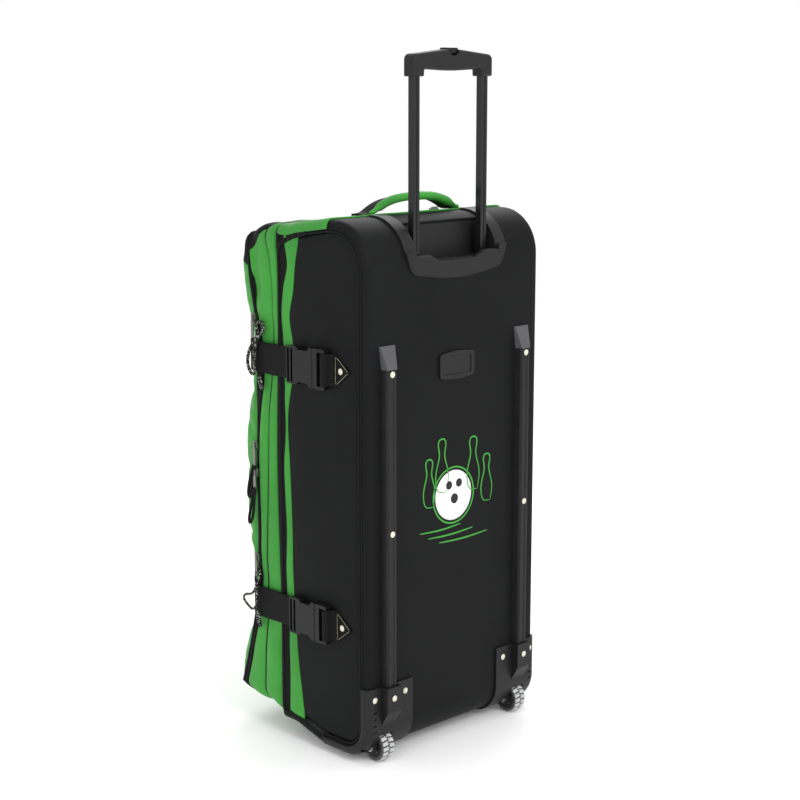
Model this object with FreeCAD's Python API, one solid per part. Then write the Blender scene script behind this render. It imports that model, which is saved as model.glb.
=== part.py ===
"""Wheeled ball bag: a tall soft case on two corner wheels, with a telescopic pull handle,
a front lid that opens like a book, a front pocket flap and two buckled compression straps.

Frame: millimetres, +Z up, +Y towards the pull handle and the wheels, +X towards the buckles.
The origin is on the floor, under the middle of the bag's box.
"""
import FreeCAD, Part
import math
import os

V = FreeCAD.Vector

# ---- driving dimensions
HALF_W = 189.0            # case half width
TOP_Z = 838.0             # top of the case
BASE_Z = 12.0             # underside of the case at the heel
BACK_Y = 152.0            # outer face of the back panel
HEEL_R = 50.0             # heel and top corner, seen from the side
TOP_R = 70.0
TOE_Y = 50.0              # the underside rises in front of this line
FLAT_Y = -18.0            # and is level again from here to the zip
BASE_RISE = 0.27
TOP_DROP = 13.0           # the top falls this much from the wrapped edge to the zip
EDGE_R = 10.0             # rounding of the back panel's long edges
CLOTH = 4.0               # padded fabric
WRAP_Y = 68.0             # the back panel ends here on top
BAND_Y = -22.0            # edge between the black side panel and the coloured band
ZIP_Y = -45.0             # main zip, where the lid starts
POCKET_Y = -104.0         # pocket zip, where the flap starts
LEAF_GAP = 1.5            # gap between case, lid and flap
STRAP_ZS = (213.3, 613.6)
STRAP_W = 50.0
WEB = 2.0                 # webbing thickness
WAIST_Y = -128.0          # front of the flap under a strap
RAIL_X = 147.8
RAIL_FACE_Y = 165.0
RIVET_ZS = (122.4, 367.5, 612.4)
WHEEL_X, WHEEL_Y, WHEEL_R, WHEEL_W = 151.0, 136.2, 25.0, 24.0
AXLE_R = 4.0
TUBE_X, TUBE_Y = 73.2, 133.0
TUBE_W, TUBE_D, TUBE_WALL = 13.0, 11.0, 1.2     # inner tube
TUBE_GAP = 0.2
OUTER_WALL = 1.3
GRIP_BASE_Z, GRIP_TOP_Z = 1046.5, 1086.0
TRAY_HALF_W, TRAY_Z = 110.0, 748.0
RECESS_HALF_W = 90.0
LINING_Y = 108.0
BOARD = 3.0
FIT = 0.05                # running fit, on the radius
SEAM = 0.05               # gap between sewn pieces
PIPE_R = 2.2
GUARD_T = 3.5
GUARD_TOP_Z = 126.0
GUARD_TOE_Y = 50.0
GUARD_INNER_X = 96.0
BUCKLE_Y = (-14.3, 73.3)
BUCKLE_W, BUCKLE_T, BUCKLE_X = 62.0, 11.0, 192.6
HANDLE_X, HANDLE_Y, HANDLE_RISE = 90.0, 50.0, 25.0
HANDLE_LIFT = 12.0        # the stiff grip starts this far above the top
MAIN_SLIDER_X = -148.0
POCKET_SLIDER_ZS = (675.0, 470.0, 425.0, 285.0)


# ---- building blocks
def box(xs, ys, zs):
    return Part.makeBox(xs[1] - xs[0], ys[1] - ys[0], zs[1] - zs[0], V(xs[0], ys[0], zs[0]))


def rod(start, axis, radius, length):
    return Part.makeCylinder(radius, length, V(*start), V(*axis))


AXES = {
    "x": (lambda a, b: V(0, a, b), V(1, 0, 0)),
    "y": (lambda a, b: V(a, 0, b), V(0, 1, 0)),
    "z": (lambda a, b: V(a, b, 0), V(0, 0, 1)),
}


def corner(before, here, after, radius):
    """Start, middle and end of the arc that rounds one corner."""
    back = (before - here).normalize()
    on = (after - here).normalize()
    half = back.getAngle(on) / 2
    reach = radius / math.tan(half)
    inward = (back + on).normalize()
    middle = here + inward * (radius / math.sin(half) - radius)
    return here + back * reach, middle, here + on * reach


def rounded(points, axis, closed=True):
    """Wire through (a, b, radius) corners in the plane across an axis, rounded by tangent arcs."""
    place = AXES[axis][0]
    flat = [place(p[0], p[1]) for p in points]
    stops = []
    for i, p in enumerate(points):
        end = not closed and i in (0, len(points) - 1)
        if len(p) == 2 or end:
            stops.append((flat[i], None, flat[i]))
            continue
        stops.append(corner(flat[i - 1], flat[i], flat[(i + 1) % len(flat)], p[2]))
    edges = []
    for i, (start, middle, end) in enumerate(stops):
        last = stops[i - 1][2]
        if (closed or i) and last.distanceToPoint(start) > 1e-4:
            edges.append(Part.makeLine(last, start))
        if middle:
            edges.append(Part.Arc(start, middle, end).toShape())
    return Part.Wire(Part.__sortEdges__(edges))


def prism(points, axis, low, high):
    """Solid of a rounded outline, from low to high along an axis."""
    way = AXES[axis][1]
    face = Part.Face(rounded(points, axis))
    face.translate(way * low)
    return face.extrude(way * (high - low))


def mirrored(shape):
    return shape.mirror(V(0, 0, 0), V(1, 0, 0))


def joined(shapes):
    whole = shapes[0].multiFuse(shapes[1:]) if len(shapes) > 1 else shapes[0]
    return whole.removeSplitter()


def save(name, *shapes):
    """One STEP per sub-part; several solids in one file stay separate."""
    solids = [s for shape in shapes for s in shape.Solids]
    for s in solids:
        if not s.isValid() or s.Volume <= 0:
            raise ValueError(f"{name} has a bad solid")
    whole = solids[0] if len(solids) == 1 else Part.makeCompound(solids)
    whole.exportStep(f"parts/{name}.step")


def both(name, shape):
    """A left-hand piece (+X) and its mirror image (-X), in two files."""
    save(f"{name}_left", shape)
    save(f"{name}_right", mirrored(shape))


# ---- case: panels sewn round a rear corner profile
def base_at(y):
    return BASE_Z + (TOE_Y - min(TOE_Y, max(FLAT_Y, y))) * BASE_RISE


def case_outline(inset, front):
    """Side view of the case, taken in by inset: rising base, heel, back, top corner, falling top."""
    low, high = BASE_Z + inset, TOP_Z - inset
    base = [(FLAT_Y, base_at(FLAT_Y) + inset), (TOE_Y, low)]
    rear = [(BACK_Y - inset, low, HEEL_R - inset), (BACK_Y - inset, high, TOP_R - inset)]
    top = [(WRAP_Y, high), (FLAT_Y, high - TOP_DROP)]
    if front > FLAT_Y:
        return [(front, base_at(front) + inset), base[1]] + rear + [(front, high)]
    return [(front, base_at(front) + inset)] + base + rear + top + [(front, high - TOP_DROP)]


def wheel_well():
    return rod((WHEEL_X - WHEEL_W / 2 - 1.5, WHEEL_Y, WHEEL_R), (1, 0, 0), WHEEL_R + 3, WHEEL_W + 3)


def housing_room():
    """Space that the wheel housings take out of the panels."""
    room = box((WHEEL_X - 22, WHEEL_X + 22), (98, 170), (-5, 64))
    return [room, mirrored(room)]


def case_shell():
    outer = prism(case_outline(0, ZIP_Y), "x", -HALF_W, HALF_W)
    long_edges = []
    for e in outer.Edges:
        b = e.BoundBox
        on_side = b.XLength < 1e-6 and abs(abs(b.XMin) - HALF_W) < 1e-6
        at_the_zip = b.YMax < ZIP_Y + 1
        if on_side and not at_the_zip:
            long_edges.append(e)
    outer = outer.makeFillet(EDGE_R - SEAM, long_edges)
    inner = prism(case_outline(CLOTH, ZIP_Y - 5), "x", CLOTH - HALF_W, HALF_W - CLOTH)
    sides = prism(case_outline(EDGE_R, ZIP_Y - 5), "x", HALF_W - EDGE_R, HALF_W + 5)
    return outer.cut([inner, sides, mirrored(sides)])


def recess_room():
    return box((-RECESS_HALF_W, RECESS_HALF_W), (LINING_Y + 3, 200), (TRAY_Z + 20, 900))


def make_panels(rivets):
    shell = case_shell()
    top = shell.common(box((-200, 200), (ZIP_Y, WRAP_Y - SEAM), (500, 900)))
    bottom = shell.common(box((-200, 200), (ZIP_Y, BACK_Y - HEEL_R - SEAM), (0, 400)))
    back = shell.cut([
        box((-200, 200), (-100, WRAP_Y), (400, 900)),
        box((-200, 200), (-100, BACK_Y - HEEL_R), (-10, 401)),
    ])
    back = back.cut(housing_room() + [recess_room()] + rivets)
    save("back_panel", back)
    save("top_panel", top)
    save("bottom_panel", bottom.cut(housing_room()))

    side_inset = EDGE_R + 4 * PIPE_R + 4 * SEAM
    side = prism(case_outline(side_inset, BAND_Y + SEAM), "x", HALF_W - CLOTH, HALF_W)
    both("side_panel", side)
    band_box = box((HALF_W - CLOTH, HALF_W), (ZIP_Y, BAND_Y - SEAM), (-10, 900))
    band = prism(case_outline(EDGE_R + 4, ZIP_Y), "x", HALF_W - CLOTH, HALF_W).common(band_box)
    save("side_bands", band, mirrored(band))

    save("edge_piping", *piping(PIPE_R))


def piping(radius):
    """Two cords side by side along each seam between the back and side panels."""
    cords = []
    for inset in (EDGE_R + PIPE_R + SEAM, EDGE_R + 3 * PIPE_R + 2 * SEAM):
        foot = V(0, GUARD_TOE_Y, BASE_Z + inset)
        route = case_outline(inset, BAND_Y)
        path = rounded(route[2:-1], "x", closed=False)
        ring = Part.Wire(Part.makeCircle(radius, foot, V(0, 1, 0)))
        cord = path.makePipeShell([ring], True, False)
        cord.translate(V(HALF_W - PIPE_R / 2, 0, 0))
        cords += [cord, mirrored(cord)]
    return cords


def make_boards():
    back = prism([(-172, 72, 25), (172, 72, 25), (172, 762), (-172, 762)], "y", 0, BOARD)
    back.translate(V(0, BACK_Y - CLOTH - SEAM - BOARD, 0))
    rear = BACK_Y - HEEL_R
    low = CLOTH + 0.3
    base = prism([
        (-40, base_at(-40) + low), (FLAT_Y, base_at(FLAT_Y) + low), (TOE_Y, BASE_Z + low), (rear, BASE_Z + low),
        (rear, BASE_Z + low + BOARD), (TOE_Y, BASE_Z + low + BOARD), (FLAT_Y, base_at(FLAT_Y) + low + BOARD),
        (-40, base_at(-40) + low + BOARD),
    ], "x", -183, 183)
    base = base.cut(housing_room())
    save("back_board", back.cut(housing_room() + [recess_room()]))
    save("base_board", base)
    lining = box((-184, 184), (LINING_Y, LINING_Y + 2), (24, 826)).cut(housing_room())
    save("lining_panel", lining)


# ---- pull handle
def tube(width, depth, wall, low, high):
    """Square tube about the left-hand tube axis."""
    skins = []
    for grow in (0, -wall):
        w, d = width / 2 + grow, depth / 2 + grow
        ends = (low, high) if grow == 0 else (low - 5, high + 5)
        skins.append(box((TUBE_X - w, TUBE_X + w), (TUBE_Y - d, TUBE_Y + d), ends))
    return skins[0].cut(skins[1])


OUTER_W = TUBE_W + 2 * (TUBE_GAP + OUTER_WALL)
OUTER_D = TUBE_D + 2 * (TUBE_GAP + OUTER_WALL)
OUTER_LOW, OUTER_HIGH = 47.0, 764.0
PLUG_LOW, PLUG_HIGH = 585.0, 615.0
CHANNEL = (1061.0, 1076.0)       # hollow in the grip where the button's bar moves


def make_tubes():
    outer = tube(OUTER_W, OUTER_D, OUTER_WALL, OUTER_LOW, OUTER_HIGH)
    save("outer_tubes", outer, mirrored(outer))
    foot = box((TUBE_X - 13, TUBE_X + 13), (122, 143), (43, 55))
    w, d = OUTER_W / 2 + SEAM, OUTER_D / 2 + SEAM
    foot = foot.cut(box((TUBE_X - w, TUBE_X + w), (TUBE_Y - d, TUBE_Y + d), (OUTER_LOW - SEAM, 60)))
    save("tube_feet", foot, mirrored(foot))
    inner = tube(TUBE_W, TUBE_D, TUBE_WALL, PLUG_HIGH, CHANNEL[0] - 1)
    groove = box((TUBE_X - 1.5, TUBE_X + 1.5), (TUBE_Y + TUBE_D / 2 - 0.7, 200), (0, 1100))
    inner = inner.cut(groove)
    save("inner_tubes", inner, mirrored(inner))
    slack = TUBE_GAP - FIT
    w, d = TUBE_W / 2 + slack, TUBE_D / 2 + slack
    plug = box((TUBE_X - w, TUBE_X + w), (TUBE_Y - d, TUBE_Y + d), (PLUG_LOW, PLUG_HIGH))
    plug = plug.cut(rod((TUBE_X, TUBE_Y, PLUG_LOW + 8), (0, 0, 1), 2.6, 60))
    save("tube_plugs", plug, mirrored(plug))


def make_grip():
    hw = TUBE_X + 12
    leg = 24
    rim = [
        (-hw, GRIP_BASE_Z, 1.5), (-hw, GRIP_TOP_Z - 7, 9), (0, GRIP_TOP_Z + 2, 260), (hw, GRIP_TOP_Z - 7, 9),
        (hw, GRIP_BASE_Z, 1.5), (hw - leg, GRIP_BASE_Z, 1.5), (hw - leg, GRIP_BASE_Z + 11, 4),
        (0, GRIP_BASE_Z + 8, 260), (leg - hw, GRIP_BASE_Z + 11, 4), (leg - hw, GRIP_BASE_Z, 1.5),
    ]
    grip = prism(rim, "y", TUBE_Y - 12, TUBE_Y + 12)
    outer_edges = [e for e in grip.Edges if e.BoundBox.YLength < 1e-6 and e.BoundBox.ZMin > GRIP_BASE_Z + 1]
    grip = grip.makeFillet(5.0, [e for e in outer_edges if e.BoundBox.ZMax > GRIP_TOP_Z - 16])
    w, d = TUBE_W / 2 + SEAM, TUBE_D / 2 + SEAM
    for s in (-1, 1):
        x = s * TUBE_X
        grip = grip.cut(box((x - w, x + w), (TUBE_Y - d, TUBE_Y + d), (0, CHANNEL[0] - 1 + SEAM)))
        grip = grip.cut(rod((x, TUBE_Y, 1050), (0, 0, 1), 2.6, 15))
    grip = grip.cut(box((-79, 79), (TUBE_Y - 4, TUBE_Y + 4), CHANNEL))
    slot = prism([(-16.4, 0, 8), (16.4, 0, 8), (16.4, 17, 8), (-16.4, 17, 8)], "z", CHANNEL[1] - 1, 1100)
    slot.translate(V(0, TUBE_Y - 8.5, 0))
    notch = rod((0, TUBE_Y, GRIP_TOP_Z + 4), (0, 1, 0), 13, 20)
    grip = grip.cut([slot, notch])
    save("grip", grip)

    cap = prism([(-16, 0, 7.6), (16, 0, 7.6), (16, 16.2, 7.6), (-16, 16.2, 7.6)], "z", CHANNEL[1] - 6, GRIP_TOP_Z + 3)
    cap.translate(V(0, TUBE_Y - 8.1, 0))
    top_edges = [e for e in cap.Edges if e.BoundBox.ZMin > GRIP_TOP_Z + 2]
    cap = cap.makeFillet(2.0, top_edges)
    low = CHANNEL[1] - 6.5
    slim = box((-16.2, 16.2), (TUBE_Y - 3.5, TUBE_Y + 3.5), (low, low + 6))
    cap = cap.cut(box((-30, 30), (TUBE_Y - 20, TUBE_Y + 20), (0, CHANNEL[1] + 4.6)))
    stem = box((-14, 14), (TUBE_Y - 3.5, TUBE_Y + 3.5), (low, CHANNEL[1] + 4.6))
    bar = box((-77, 77), (TUBE_Y - 3.5, TUBE_Y + 3.5), (low, low + 5))
    save("grip_button", joined([cap, stem, bar, slim]))
    push_rod = rod((TUBE_X, TUBE_Y, PLUG_LOW + 14), (0, 0, 1), 2.0, low - PLUG_LOW - 14 - SEAM)
    save("push_rods", push_rod, mirrored(push_rod))


def make_tray():
    """Moulded tray in the rear top corner: a band, a shelf, a rear wall, cheeks and two arms over the top."""
    rise = TRAY_Z + 38
    hw, rw = TRAY_HALF_W, RECESS_HALF_W - 0.1
    band = prism([
        (-hw + 12, TRAY_Z + 7, 22), (0, TRAY_Z - 8, 330), (hw - 12, TRAY_Z + 7, 22), (hw, rise + 4),
        (rw, rise + 4), (rw, rise - 3), (60, rise - 3, 6), (38, rise - 14, 30), (-38, rise - 14, 30), (-60, rise - 3, 6),
        (-rw, rise - 3), (-rw, rise + 4), (-hw, rise + 4),
    ], "y", BACK_Y - CLOTH, BACK_Y + 5)
    keep = [e for e in band.Edges if e.BoundBox.YLength < 1e-6 and e.BoundBox.YMin > BACK_Y + 4]
    low_rim = [e for e in keep if e.BoundBox.ZMax < TRAY_Z + 32]
    band = band.makeChamfer(2.5, low_rim)
    opening = recess_room()
    band = band.cut(prism(case_outline(0, 0), "x", -200, 200).cut(opening))
    shelf = box((-rw, rw), (LINING_Y + 3.1, BACK_Y), (rise - 16, rise - 12))
    wall = box((-rw, rw), (LINING_Y + 3.1, LINING_Y + 6), (rise - 16, 826))
    cheek = box((rw - 3, rw), (LINING_Y + 3.1, 200), (rise - 16, 900)).common(
        prism(case_outline(0, 0), "x", 0, 200))
    arm = prism(case_outline(-3, WRAP_Y + 6), "x", rw - 3, hw).cut([
        prism(case_outline(0, WRAP_Y - 20), "x", 0, 200),
        box((0, 200), (-10, 300), (-10, rise)),
        box((0, 200), (-10, WRAP_Y + 6), (0, 900)),
    ])
    tray = joined([band, shelf, wall, cheek, mirrored(cheek), arm, mirrored(arm)])
    w, d = TUBE_W / 2 + TUBE_GAP, TUBE_D / 2 + TUBE_GAP
    for s in (-1, 1):
        x = s * TUBE_X
        tray = tray.cut(box((x - w, x + w), (TUBE_Y - d, TUBE_Y + d), (700, 790)))
    save("handle_tray", tray)


# ---- rails, guards and wheels
def make_rails(rivets):
    half = 9.5
    y = RAIL_FACE_Y
    section = [
        (RAIL_X - half - 2, BACK_Y + SEAM), (RAIL_X + half + 2, BACK_Y + SEAM), (RAIL_X + half, y - 4, 3),
        (RAIL_X + half - 2, y, 1.5), (RAIL_X + 4, y), (RAIL_X + 3, y - 1.2), (RAIL_X - 3, y - 1.2),
        (RAIL_X - 4, y), (RAIL_X - half + 2, y, 1.5), (RAIL_X - half, y - 4, 3),
    ]
    cap_low = RIVET_ZS[2] + 7
    rail = prism(section, "z", 96, cap_low - SEAM).cut(rivets)
    both("rail", rail)
    low = Part.makePolygon([V(RAIL_X - half - 2, BACK_Y, cap_low), V(RAIL_X + half + 2, BACK_Y, cap_low),
                            V(RAIL_X + half, y, cap_low), V(RAIL_X - half, y, cap_low),
                            V(RAIL_X - half - 2, BACK_Y, cap_low)])
    top_z = cap_low + 35
    high = Part.makePolygon([V(RAIL_X - 16, BACK_Y, top_z), V(RAIL_X + 16, BACK_Y, top_z),
                             V(RAIL_X + 15, BACK_Y + 2, top_z), V(RAIL_X - 15, BACK_Y + 2, top_z),
                             V(RAIL_X - 16, BACK_Y, top_z)])
    cap = Part.makeLoft([low, high], True, True)
    cap.translate(V(0, SEAM, 0))
    save("rail_caps", cap, mirrored(cap))


def guard_skin(grow):
    """Corner block grown outwards from the case by grow, with a rounded long edge."""
    skin = prism(case_outline(-grow, 10), "x", GUARD_INNER_X, HALF_W + grow)
    edges = []
    for e in skin.Edges:
        b = e.BoundBox
        if b.XLength < 1e-6 and b.XMin > HALF_W and b.YMax > 11:
            edges.append(e)
    return skin.makeFillet(EDGE_R + grow, edges)


def make_guards(rivets):
    outer = guard_skin(GUARD_T)
    strip = prism(case_outline(12, 10), "x", HALF_W - 20, HALF_W + 10)
    region = box((GUARD_INNER_X, 210), (GUARD_TOE_Y, 200), (-5, GUARD_TOP_Z))
    skin = outer.cut([guard_skin(SEAM), strip]).common(region)

    boss = prism([
        (BACK_Y + 1, GUARD_TOP_Z - 62), (BACK_Y + GUARD_T, GUARD_TOP_Z - 62), (RAIL_FACE_Y + 4, GUARD_TOP_Z - 40),
        (RAIL_FACE_Y + 4, GUARD_TOP_Z), (BACK_Y + 1, GUARD_TOP_Z),
    ], "x", RAIL_X - 15, RAIL_X + 15).cut(guard_skin(SEAM))
    pocket = box((RAIL_X - 11.7, RAIL_X + 11.7), (BACK_Y - 1, RAIL_FACE_Y + 0.3), (95, 200))

    x0, x1 = WHEEL_X - 17.5, WHEEL_X + 17.5
    block = prism([
        (99, 18), (112, 8), (BACK_Y - 1, 22), (BACK_Y - 1, 62), (99, 62),
    ], "x", x0, x1).common(prism(case_outline(-1, 10), "x", 0, 200))
    ears = rod((x0, WHEEL_Y, WHEEL_R), (1, 0, 0), 11, x1 - x0)
    housing = block.fuse(ears)
    guard = joined([skin, boss, housing])
    wells = [wheel_well(), rod((x0 - 5, WHEEL_Y, WHEEL_R), (1, 0, 0), AXLE_R + SEAM, 60)]
    wells += [rod((x, WHEEL_Y, WHEEL_R), (1, 0, 0), 7.5, 8) for x in (x0 - 8, x1)]
    hollow = box((x0 + 4, x1 - 4), (99, BACK_Y - 4), (52, 66))
    guard = guard.cut(wells + [pocket, hollow] + rivets + piping(PIPE_R + SEAM))
    for k in range(5):
        z = 44 + 10.5 * k
        guard = guard.cut(box((HALF_W - 16, HALF_W - 9), (BACK_Y + 1.5, 200), (z, z + 3)))
    parts = sorted(guard.Solids, key=lambda s: s.Volume)
    both("corner_guard", parts[-1])
    axle = rod((x0 - 3, WHEEL_Y, WHEEL_R), (1, 0, 0), AXLE_R, x1 - x0 + 6)
    heads = [rod((x, WHEEL_Y, WHEEL_R), (1, 0, 0), 6.5, 2.5) for x in (x0 - 2.6, x1 + 0.1)]
    axle = joined([axle] + heads)
    save("wheel_axles", axle, mirrored(axle))


def ring(outer, inner, low, high):
    """Ring about the left wheel's axle, between two x values."""
    whole = rod((low, WHEEL_Y, WHEEL_R), (1, 0, 0), outer, high - low)
    return whole.cut(rod((low - 1, WHEEL_Y, WHEEL_R), (1, 0, 0), inner, high - low + 2))


def make_wheels():
    low, high = WHEEL_X - WHEEL_W / 2, WHEEL_X + WHEEL_W / 2
    rim_r = 16.5
    tyre = ring(WHEEL_R, rim_r + SEAM, low, high)
    tyre = tyre.makeFillet(4.0, [e for e in tyre.Edges if abs(e.BoundBox.ZLength - 2 * WHEEL_R) < 0.1])
    both("tyre", tyre)
    hub = ring(rim_r, 11.0, low + 0.5, high - 0.5)
    web = ring(11.5, AXLE_R + 2, WHEEL_X - 3, WHEEL_X + 3)
    both("wheel_hub", joined([hub, web]))
    bearings = [ring(11.0 - SEAM, AXLE_R + FIT, x, x + 7) for x in (WHEEL_X - 10.2, WHEEL_X + 3.2)]
    save("bearings_left", *bearings)
    save("bearings_right", *[mirrored(b) for b in bearings])


def back_rivets():
    """Rivets through the rails, guards and back panel, and the holes for their shanks."""
    spots = [(RAIL_X, RAIL_FACE_Y, z) for z in RIVET_ZS[1:]]
    spots += [(RAIL_X, RAIL_FACE_Y + 4, 108.0)]
    spots += [(x, BACK_Y + GUARD_T, 108.0) for x in (112.0, 176.5)]
    heads, holes = [], []
    for x, y, z in spots:
        holes.append(rod((x, BACK_Y - CLOTH - 1, z), (0, 1, 0), 2.05, y - BACK_Y + CLOTH + 3))
        shank = rod((x, BACK_Y - CLOTH, z), (0, 1, 0), 2.0, y - BACK_Y + CLOTH + 0.1)
        dome = Part.makeSphere(7.0, V(x, y + 2 - 7.0, z)).common(rod((x, y + SEAM, z), (0, 1, 0), 4.8, 4))
        heads.append(joined([shank, dome]))
    return heads + [mirrored(h) for h in heads], holes + [mirrored(h) for h in holes]


# ---- small fixed pieces
def make_trim():
    plate = prism([
        (-37.8, -18.5, 5), (0, -23.5, 150), (37.8, -18.5, 5), (37.8, 18.5, 5), (0, 23.5, 150), (-37.8, 18.5, 5),
    ], "y", 0, 3.5)
    sunk = prism([(-31, -14, 4), (31, -14, 4), (31, 14, 4), (-31, 14, 4)], "y", 2.2, 5)
    plate = plate.cut(sunk)
    plate.translate(V(0, BACK_Y + SEAM, 609))
    save("id_plate", plate)
    foot = prism([(-28, 0, 2), (2, 0, 2), (6, 32), (-32, 32)], "x", 78, 128)
    foot = foot.cut(prism(case_outline(-SEAM, -60), "x", 0, 200))
    save("front_feet", foot, mirrored(foot))


# ---- lid and flap: soft front leaves
LEAF_LOW, LEAF_HIGH = 33.0, 823.0
LEAF_HALF_W = HALF_W - 1
FLAP_EDGE_R = 20.0


def flap_outline(inset):
    """Side view of the flap: it bulges between the straps and is drawn in under them."""
    i = inset
    low, high = STRAP_ZS
    span = STRAP_W / 2 + 8
    rear = POCKET_Y - LEAF_GAP / 2
    waist = WAIST_Y + i
    return [
        (rear + 2 * i, LEAF_LOW + 2 + i), (-150, LEAF_LOW + 5 + i, 24), (-174 + i, 68, 22), (-170 + i, 120, 50),
        (waist, low - span, 40), (waist, low + span, 40), (-154 + i, 325, 90), (-154 + i, 500, 90),
        (waist, high - span, 40), (waist, high + span, 40), (-150 + i, 715, 60), (-152 + i, 818 - i, 40),
        (rear + 2 * i, LEAF_HIGH - i),
    ]


def flap_block(inset):
    """Flap as a full block, rounded in side view and along its two front edges."""
    hw = LEAF_HALF_W - inset
    block = prism(flap_outline(inset), "x", -hw, hw)
    front = [e for e in block.Edges if e.BoundBox.XLength < 1e-6 and e.BoundBox.YMin < POCKET_Y - 20]
    return block.makeFillet(FLAP_EDGE_R - inset, front)


def rounded_face(inset, ys):
    """Front view of a leaf, rounded at its four corners, between two y values."""
    hw, r = LEAF_HALF_W - inset, 14 - inset
    low, high = LEAF_LOW + inset, LEAF_HIGH - inset
    return prism([(-hw, low, r), (hw, low, r), (hw, high, r), (-hw, high, r)], "y", *ys)


def make_leaves():
    front, rear = POCKET_Y + LEAF_GAP / 2, ZIP_Y - LEAF_GAP
    gusset = rounded_face(0, (front, rear)).cut(rounded_face(CLOTH, (front - 1, rear + 1)))
    save("lid_gusset", gusset)
    flap = flap_block(0).cut(flap_block(CLOTH))
    save("pocket_flap", flap)
    save("lid_lining", rounded_face(CLOTH + SEAM, (rear - 6, rear - 4)))


TAPE_OUT, TAPE_T = 1.3, 1.2


def u_tape(ys, radius):
    """Zip tape laid over the top, the buckle side and the base: a band open at the hinge side."""
    hw, low, high = HALF_W + TAPE_OUT, base_at(ZIP_Y) - TAPE_OUT, TOP_Z - TOP_DROP + TAPE_OUT
    skins = []
    for t in (0, TAPE_T):
        skins.append(prism([
            (-hw - 50 - t, low + t), (hw - t, low + t, radius - t), (hw - t, high - t, radius - t),
            (-hw - 50 - t, high - t),
        ], "y", ys[0] - t, ys[1] + t))
    return skins[0].cut([skins[1], box((-300, -170), (-200, 200), (-10, 900))])


def make_zips():
    radius = EDGE_R + TAPE_OUT
    save("zip_tape_case", u_tape((ZIP_Y, ZIP_Y + 12), radius))
    save("zip_tape_lid", u_tape((ZIP_Y - 13, ZIP_Y - LEAF_GAP), radius))
    front = POCKET_Y + LEAF_GAP / 2
    save("pocket_zip_tape", box((LEAF_HALF_W + SEAM, LEAF_HALF_W + TAPE_OUT), (front, front + 8), (70, 790)))
    save("hinge_strip", box((-HALF_W - 0.9, -HALF_W - SEAM), (ZIP_Y, ZIP_Y + 20), (60, 800)))


def slider():
    """Zip slider at the origin, facing +X: a body over the teeth, its bridge and a short hanging tab."""
    body = box((0, 4), (-5, 5), (-7, 7))
    body = body.makeFillet(1.2, [e for e in body.Edges if e.BoundBox.XLength > 3])
    bridge = box((3.9, 6.2), (-1.5, 1.5), (-5, 5))
    tab = box((4.6, 6.2), (-3, 3), (-32, -4.5))
    return joined([body, bridge, tab])


def make_sliders():
    on_top = slider()
    on_top.rotate(V(0, 0, 0), V(0, 1, 0), -90)
    on_top.rotate(V(0, 0, 0), V(0, 0, 1), 180)
    on_top.translate(V(MAIN_SLIDER_X, ZIP_Y, TOP_Z - TOP_DROP + 1.8))
    save("main_zip_slider", on_top)
    for i, z in enumerate(POCKET_SLIDER_ZS):
        piece = slider()
        piece.translate(V(HALF_W + 0.8, POCKET_Y, z))
        save(f"pocket_slider_{i + 1}", piece)


# ---- straps and buckles
SOCKET_REAR_Y = 46.0
PRONG_ROOT_Y = 50.0
PRONG_Z = 17.0


def buckle_halves(z):
    y0, y1 = BUCKLE_Y
    x0, x1 = BUCKLE_X, BUCKLE_X + BUCKLE_T
    hw = BUCKLE_W / 2
    female = prism([
        (y0, z - hw + 2, 3), (8, z - hw + 1, 4), (14, z - hw + 6, 3), (34, z - hw + 6, 3),
        (38, z - hw, 3), (SOCKET_REAR_Y, z - hw, 3), (SOCKET_REAR_Y, z + hw, 3), (38, z + hw, 3),
        (34, z + hw - 6, 3), (14, z + hw - 6, 3), (8, z + hw - 1, 4), (y0, z + hw - 2, 3),
    ], "x", x0, x1)
    rims = [e for e in female.Edges if e.BoundBox.XLength < 1e-6 and e.BoundBox.XMin > x1 - 1]
    female = female.makeChamfer(1.0, rims)
    cavity = box((x0 + 2.4, x1 - 2.4), (6, SOCKET_REAR_Y + 14), (z - 25.6, z + 25.6))
    slots = [box((x0 - 1, x1 + 1), ys, (z - 26, z + 26)) for ys in ((y0 + 3.5, y0 + 8.0), (y0 + 11.5, y0 + 16.0))]
    female = female.cut([cavity] + slots)

    seam = SOCKET_REAR_Y + 0.6
    male = prism([(seam, z - hw, 3), (y1, z - hw, 4), (y1, z + hw, 4), (seam, z + hw, 3)], "x", x0, x1)
    rims = [e for e in male.Edges if e.BoundBox.XLength < 1e-6 and e.BoundBox.XMin > x1 - 1]
    male = male.makeChamfer(1.0, rims)
    male = male.cut(box((x0 - 1, x1 + 1), (57.5, y1 - 4.5), (z - 26, z + 26)))
    tongue = box((x0 + 3.2, x1 - 3.2), (12, 47), (z - 5, z + 5))
    male = joined([male, tongue])
    prongs = []
    for s in (-1, 1):
        seat = box((x0 + 2.6, x1 - 2.6), (46, 54), sorted((z + s * 12.5, z + s * 21.5)))
        male = male.cut(seat)
        arm = prism([
            (PRONG_ROOT_Y + 3, z + s * (PRONG_Z - 3), 1.5), (PRONG_ROOT_Y + 3, z + s * (PRONG_Z + 3), 1.5),
            (34, z + s * 21), (31, z + s * 23.5, 1.5), (16, z + s * 23.5, 3), (10, z + s * 17, 2), (12, z + s * 15, 1),
            (30, z + s * 16, 8),
        ], "x", x0 + 3.2, x1 - 3.2)
        prongs.append(arm)
    return female, male, prongs


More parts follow.
